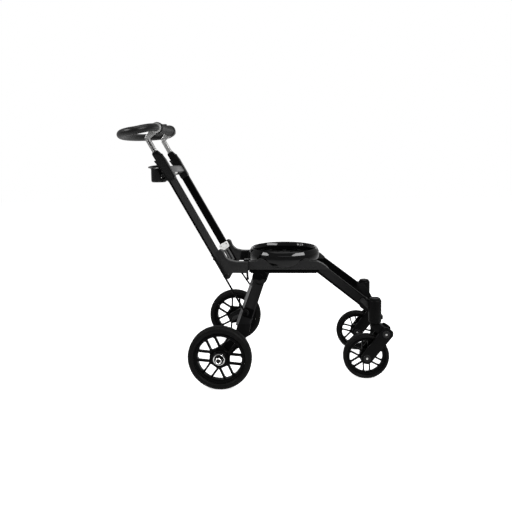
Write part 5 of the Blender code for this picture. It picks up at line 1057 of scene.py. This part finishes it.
def make_rear_wheel(label, side):
    """Tyre, rim, chrome ring and the round cap over the axle's end."""
    body, across, face = f"rear_wheel_{label}", side * REAR_TRACK, 0.022 + GAP
    make_tyre(f"rear_tyre_body_{label}", f"rear_tyre_{label}", 0, REAR_RADIUS, across, 0.025, 0.046, body, 64)
    sizes = (0.025, 0.0135, 0.032, 0.036, 0.044, 0.029, 0.0072, 0.014, 0.0066)
    start = {"left": 33.0, "right": 5.5}[label]
    make_rim(f"rear_rim_body_{label}", f"rear_rim_{label}", 0, across, REAR_RADIUS, sizes, start, body)
    ring = [
        (0, 0), (0.0225, 0), (0.0225, 0.0022), (0.0220, 0.0034), (0.0208, 0.0040), (0.0196, 0.0036),
        (0.0190, 0.0026), (0.0190, 0.0006), (0.0127, 0.0006), (0.0127, 0.0150), (0.0126, 0.0172),
        (0.0120, 0.0192), (0.0108, 0.0203), (0.0094, 0.0204), (0.0084, 0.0192), (0.0080, 0.0150), (0, 0.0150),
    ]
    well = [(0.0130, 0.0008), (0.0187, 0.0008), (0.0187, 0.0018), (0.0180, 0.0026), (0.0150, 0.0030),
            (0.0136, 0.0026), (0.0130, 0.0018)]
    plug = [(0, 0.0145), (0.0079, 0.0145), (0.0079, 0.0180), (0.0070, 0.0187), (0.0048, 0.0188),
            (0.0042, 0.0180), (0, 0.0180)]
    seat = [(0.0226, -0.0006), (0.0262, -0.0006), (0.0262, 0.0006), (0.0254, 0.0012), (0.0234, 0.0012),
            (0.0226, 0.0006)]
    slots = [turned(bar((0.0035, face + 0.0172, 0), (0.0070, face + 0.0200, 0), 0.0008, 8), number * 90 + 45)
             for number in range(4)]
    for name, profile, sides, look, stands_for in (
        ("ring", ring, 72, "hub_cap_metal", f"hub_cap_{label}"), ("well", well, 64, "rim_plastic", ()),
        ("plug", plug, 48, "smooth_black_plastic", ()), ("seat", seat, 64, "smooth_black_plastic", ()),
    ):
        shape = lathe([(radius, face + out) for radius, out in profile], sides)
        if name == "plug":
            shape = worked(shape, [joined(*slots)])
        shape = moved(mirrored(shape, side), 0, across, REAR_RADIUS)
        piece(f"cap_{name}_{label}", shape, look, body, stands_for)


def make_front_wheel(label, side):
    """Tyre and rim of a caster."""
    body, across, x, r = f"front_wheel_{label}", side * FRONT_TRACK, WHEELBASE, FRONT_RADIUS
    make_tyre(f"front_tyre_body_{label}", f"front_tyre_{label}", x, r, across, 0.0155, 0.034, body, 48)
    sizes = (0.0155, 0.011, 0.024, 0.024, 0.034, 0.019, 0.0052, 0.011, 0.0046)
    start = {"left": 14.0, "right": 27.0}[label]
    make_rim(f"front_rim_body_{label}", f"front_rim_{label}", x, across, r, sizes, start, body)


# ---------- casters ----------

def fork_line():
    """A fork arm from the side: broad and rounded at the knee, round at the axle."""
    knee, axle = Vector((KNEE_X, KNEE_Z)), Vector((WHEELBASE, FRONT_RADIUS))
    along = (axle - knee).normalized()
    front = Vector((-along.y, along.x))
    corners = []
    for step in range(15):
        turn = math.pi * step / 14
        place = axle + (along * math.sin(turn) + front * math.cos(turn)) * FORK_FOOT
        corners.append((place.x, place.y, 0))
    for ahead, down, radius in ((-0.98, -0.45, 0.012), (-0.62, -0.98, 0.010), (0.60, -1.00, 0.010),
                                (0.96, -0.45, 0.010), (0.95, 0.55, 0.014)):
        place = knee + front * FORK_HALF * ahead + along * FORK_HALF * down
        corners.append((place.x, place.y, radius))
    return eased(corners)


def make_caster(label, side):
    """Housing with its flat cap, stem, sprung arm with bolts, and the swivel lock."""
    r, low, top, across = HOUSING_RADIUS, HOUSING_LOW, HOUSING_TOP, FRONT_LEG_FOOT
    barrel = lathe([
        (0, low), (r * 0.86, low), (r * 0.94, low + 0.001), (r, low + 0.005), (r, low + 0.0125),
        (r - 0.0009, low + 0.0132), (r - 0.0009, low + 0.0146), (r, low + 0.0153), (r, top - 0.0115),
        (r - 0.0004, top - 0.0095), (r - 0.0022, top - 0.0072), (r * 0.86, top - 0.0068),
        (r * 0.85, top - 0.0052), (r * 0.83, top - 0.0022), (r * 0.76, top - 0.0006), (r * 0.66, top),
        (r * 0.55, top - 0.0004), (r * 0.52, top - 0.0012), (0, top - 0.0012),
    ], 64, "Z")
    start, along, up, length = front_leg_line()
    rear, end = start + along * (length - 0.027), start + along * (length + 0.024)
    tongue = [(rear - up * 0.004, 0.007), (end - up * 0.001, 0.003), (end + up * 0.036, 0.004),
              (rear + up * 0.044, 0.012)]
    tongue = slab(seen_sideways(tongue), across - 0.016, across + 0.016, side, 0.0040, 4)
    shape = joined(moved(barrel, SWIVEL_X, side * FRONT_TRACK), tongue)
    piece(f"housing_shell_{label}", shape, "deep_black_plastic", "chassis", f"caster_housing_{label}")
    back = start + along * (length - 0.040)
    cover = [(back + up * 0.016, 0.014), (end + up * 0.007, 0.002), (end + up * 0.034, 0.003),
             (back + up * 0.032, 0.010)]
    cover = slab(seen_sideways(cover), across + 0.008, across + 0.0166, side, 0.0012, 2)
    piece(f"socket_cover_{label}", cover, "satin_charcoal_paint", "chassis")
    place = start + along * (length - 0.010) + up * 0.020
    head = moved(bolt_head(0.0040, 0.0014), place.x, across + 0.0164, place.z)
    piece(f"housing_bolt_{label}", mirrored(head, side), "smooth_black_plastic", "chassis")
    softened(f"caster_stem_{label}", "deep_black_plastic", f"caster_{label}", 0.0012)
    near, far = FRONT_TRACK - FORK_GAP - FORK_THICK, FRONT_TRACK + FORK_GAP
    plates = [prism(fork_line(), place, place + FORK_THICK, side, 0.0022, 3) for place in (near, far)]
    knee, axle = Vector((KNEE_X, 0, KNEE_Z)), Vector((WHEELBASE, 0, FRONT_RADIUS))
    run = (axle - knee).normalized()
    front = Vector((-run.z, 0, run.x))
    bridge = [(knee + run * down + front * ahead, 0.003)
              for down, ahead in ((0.018, -0.012), (0.018, 0.014), (0.0275, 0.014), (0.0275, -0.012))]
    plates.append(slab(seen_sideways(bridge), near + 0.004, far + 0.004, side, 0.001, 2))
    piece(f"fork_body_{label}", joined(*plates), "deep_black_plastic", f"arm_{label}", f"caster_arm_{label}")
    for name, x, z, size in (("knee", KNEE_X, KNEE_Z, 0.0040), ("axle", WHEELBASE, FRONT_RADIUS, 0.0042)):
        for place, reach, turn in (("outer", far + FORK_THICK, 0), ("inner", near, 180)):
            well = lathe([
                (size * 1.05, -0.0002), (0.0150, -0.0002), (0.0150, 0.0005), (0.0146, 0.0010),
                (0.0138, 0.0010), (0.0134, 0.0004), (0.0082, 0.0004), (0.0078, 0.0012),
                (size * 1.25, 0.0012), (size * 1.05, 0.0004),
            ], 48)
            for what, part, look in (
                ("well", well, "smooth_black_plastic"), ("bolt", bolt_head(size, 0.0020), "steel"),
            ):
                part = moved(turned(part, turn, "Z") if turn else part, x, reach, z)
                piece(f"{name}_{what}_{place}_{label}", mirrored(part, side), look, f"arm_{label}")
    softened(f"swivel_lock_{label}", "smooth_black_plastic", f"lock_{label}", 0.0007)


def make_front_brace():
    """The arched band between the caster housings."""
    softened("front_brace", "unlit_black_plastic", "chassis", 0.002)


# ---------- rear ----------

def leg_across(z):
    """How far out a rear leg's middle is at a height."""
    return REAR_LEG_ACROSS + REAR_LEG_SPLAY * (REAR_LEG_TOP - z)


def make_rear(label, side):
    """Knuckle with the beam's painted shadow on its top and its cap, splayed leg, axle block, link rod, fold
    release and hub clamp.
    """
    knuckle = Vector((KNUCKLE_X, KNUCKLE_Z))
    softened(f"rear_knuckle_{label}", "satin_black_paint", "chassis", 0.0016)
    # A near-black half disc over the knuckle's top: the beam's painted shadow.
    beam_shadow = prism(arc(knuckle, 0.0309, -18, 198, 30), BEAM_OUTER - 0.006, BEAM_OUTER - 0.0004, side, 0.0006, 1)
    piece(f"knuckle_beam_shadow_{label}", beam_shadow, "deep_black_paint", "chassis")
    softened(f"rear_leg_{label}", "satin_black_paint", "rear_legs", 0.0014, angle=24)
    softened(f"axle_block_{label}", "deep_black_plastic", "rear_legs", 0.0014)
    top = leg_point(-STUD_BACK, STUD_AT, LEG_OUTER + GAP + 0.00225)
    foot = Vector((ROD_FOOT_X, leg_across(0.262) + REAR_LEG_THICK / 2 + GAP + 0.0075, ROD_FOOT_Z))
    run = (foot - top).normalized()
    eye = lathe(both_ways([(0.0031, 0.00225), (0.0064, 0.00225), (0.0068, 0.0018)]), 32)
    end = lathe([(0, -0.0075), (0.0062, -0.0075), (0.0068, -0.0068), (0.0068, 0.0024), (0.0062, 0.0030),
                 (0, 0.0030)], 32)
    rod = joined(bar(top + run * 0.0045, foot - run * 0.002, 0.0040, 20), moved(eye, *top), moved(end, *foot))
    piece(f"link_rod_bar_{label}", mirrored(rod, side), "deep_black_paint", f"rod_{label}", f"link_rod_{label}")
    fall = (TRIM_FOOT - TRIM_TOP).normalized()
    wide = Vector((-fall.y, fall.x)) * 0.0052
    strip = [(place.x, place.y, 0.0015)
             for place in (TRIM_TOP + wide, TRIM_TOP - wide, TRIM_FOOT - wide, TRIM_FOOT + wide)]
    plate = []
    for down, out in ((0.124, -0.016), (0.124, 0.0205), (0.160, 0.0205), (0.160, -0.016)):
        place = knuckle + REAR_LEG_LINE * down + Vector((-REAR_LEG_LINE.y, REAR_LEG_LINE.x)) * out
        plate.append((place.x, place.y, 0.002))
    for name, shape, look in (
        ("plate", slab(plate, 0.0100, 0.0118, 1, 0.0005, 1), "deep_black_paint"),
        ("trim", slab(strip, -0.0117, 0.0117, 1, 0.0010, 2), "grey_plastic"),
    ):
        for vert in shape.verts:
            vert.co.y += leg_across(vert.co.z)
        piece(f"rear_leg_{name}_{label}", mirrored(shape, side), look, "rear_legs")
    cap = lathe([(0, 0), (0.0135, 0), (0.0135, 0.0012), (0.0122, 0.0022), (0.0082, 0.0022), (0.0076, 0.0014),
                 (0, 0.0014)], 44)
    cap = mirrored(moved(cap, KNUCKLE_X, BEAM_OUTER - 0.001, KNUCKLE_Z), side)
    piece(f"knuckle_cap_{label}", cap, "deep_black_paint", "chassis")
    softened(f"fold_release_{label}", "matte_black_plastic", f"release_{label}", 0.0008)
    softened(f"hub_clamp_{label}", "satin_black_paint", "chassis", 0.0012)


def make_cross_tube():
    """The tube between the rear castings, and the brake pedal on it."""
    softened("rear_cross_tube", "satin_black_paint", "rear_legs", 0.0006)
    softened("brake_pedal", "deep_black_paint", "brake", 0.0009)


make_hub()
make_crossbar()
make_cup_holder()
make_loop()
make_grip_bar()
make_front_brace()
make_cross_tube()
for label, side in SIDES.items():
    make_beam(label, side)
    make_elbow(label, side)
    make_leg(label, side)
    make_sleeve(label, side)
    make_lever(label, side)
    make_latch(label, side)
    make_strut(label, side)
    make_rear(label, side)
    make_rear_wheel(label, side)
    make_front_wheel(label, side)
    make_caster(label, side)

# ---------- studio ----------

def background_seen(tree, reflected):
    """How much white a ray shows: all of it to the camera and through glass, a part in reflections."""
    ray = node(tree, "ShaderNodeLightPath").outputs
    seen = calc(tree, "MAXIMUM", ray["Is Camera Ray"], calc(tree, "MULTIPLY", ray["Is Glossy Ray"], reflected))
    return calc(tree, "MAXIMUM", seen, ray["Is Transmission Ray"])


def backdrop_look(name, colour, lift):
    """A pale surface that also shows white to the camera and in reflections, and keeps its shadows."""
    made = bpy.data.materials.new(name)
    made.use_nodes = True
    tree = made.node_tree
    shader, out = tree.nodes["Principled BSDF"], tree.nodes["Material Output"]
    shader.inputs["Base Color"].default_value = (*colour, 1)
    shader.inputs["Roughness"].default_value = 0.9
    shader.inputs["Specular IOR Level"].default_value = 0.0
    strength = calc(tree, "MULTIPLY", background_seen(tree, 0.12), lift)
    glow = node(tree, "ShaderNodeEmission", {"Color": (1, 1, 1, 1), "Strength": strength})
    total = node(tree, "ShaderNodeAddShader", {0: shader.outputs[0], 1: glow.outputs[0]})
    tree.links.new(total.outputs[0], out.inputs["Surface"])
    return made


def make_studio():
    """Floor, world, lamps and camera."""
    ground = bmesh.new()
    bmesh.ops.create_grid(ground, x_segments=4, y_segments=4, size=9.0)
    mesh = bpy.data.meshes.new("floor")
    ground.to_mesh(mesh)
    ground.free()
    floor = bpy.data.objects.new("floor", mesh)
    floor.data.materials.append(backdrop_look("studio_floor", (0.80, 0.80, 0.80), 0.80))
    bpy.context.scene.collection.objects.link(floor)
    world = bpy.data.worlds.new("studio")
    bpy.context.scene.world = world
    world.use_nodes = True
    tree = world.node_tree
    back = tree.nodes["Background"]
    strength = node(tree, "ShaderNodeMapRange", {"Value": background_seen(tree, 0.08), 3: 0.25, 4: 1.0})
    tree.links.new(strength.outputs[0], back.inputs["Strength"])
    back.inputs["Color"].default_value = (1, 1, 1, 1)
    aim = Vector((AXLE_X + HUB_X, 0, 0.50))
    for name, turn, height, far, width, depth, power in (
        ("left_box", -70.0, 30.0, 2.7, 1.10, 0.55, 30.0),
        ("right_box", 54.0, 34.0, 2.7, 1.90, 0.62, 58.0),
        ("overhead", 10.0, 82.0, 2.6, 2.6, 1.8, 34.0),
        ("rear_strip", 178.0, 12.0, 2.6, 3.2, 0.7, 6.0),
    ):
        turn, height = math.radians(turn), math.radians(height)
        level = math.cos(height)
        place = aim + Vector((math.sin(turn) * level, -math.cos(turn) * level, math.sin(height))) * far
        lamp = bpy.data.lights.new(name, "AREA")
        lamp.shape, lamp.size, lamp.size_y, lamp.energy = "RECTANGLE", width, depth, power
        thing = bpy.data.objects.new(name, lamp)
        thing.location = place
        thing.rotation_euler = (aim - place).to_track_quat("-Z", "Y").to_euler()
        thing.visible_camera = False
        bpy.context.scene.collection.objects.link(thing)
    pitch, yaw, roll = CAMERA_PITCH, CAMERA_YAW, CAMERA_ROLL
    ahead = Vector((math.sin(yaw) * math.cos(pitch), math.cos(yaw) * math.cos(pitch), -math.sin(pitch)))
    right = Vector((math.cos(yaw), -math.sin(yaw), 0))
    down = ahead.cross(right)
    right_r = right * math.cos(roll) + down * math.sin(roll)
    down_r = down * math.cos(roll) - right * math.sin(roll)
    turn = Matrix((right_r, -down_r, -ahead)).transposed().to_4x4()
    data = bpy.data.cameras.new("camera")
    data.lens, data.sensor_width, data.shift_y = CAMERA_LENS, 36.0, CAMERA_SHIFT
    camera = bpy.data.objects.new("camera", data)
    camera.matrix_world = Matrix.Translation(Vector((AXLE_X, 0, 0)) + CAMERA_PLACE) @ turn
    bpy.context.scene.collection.objects.link(camera)
    bpy.context.scene.camera = camera
    bpy.context.scene.view_settings.view_transform = "Standard"


make_studio()
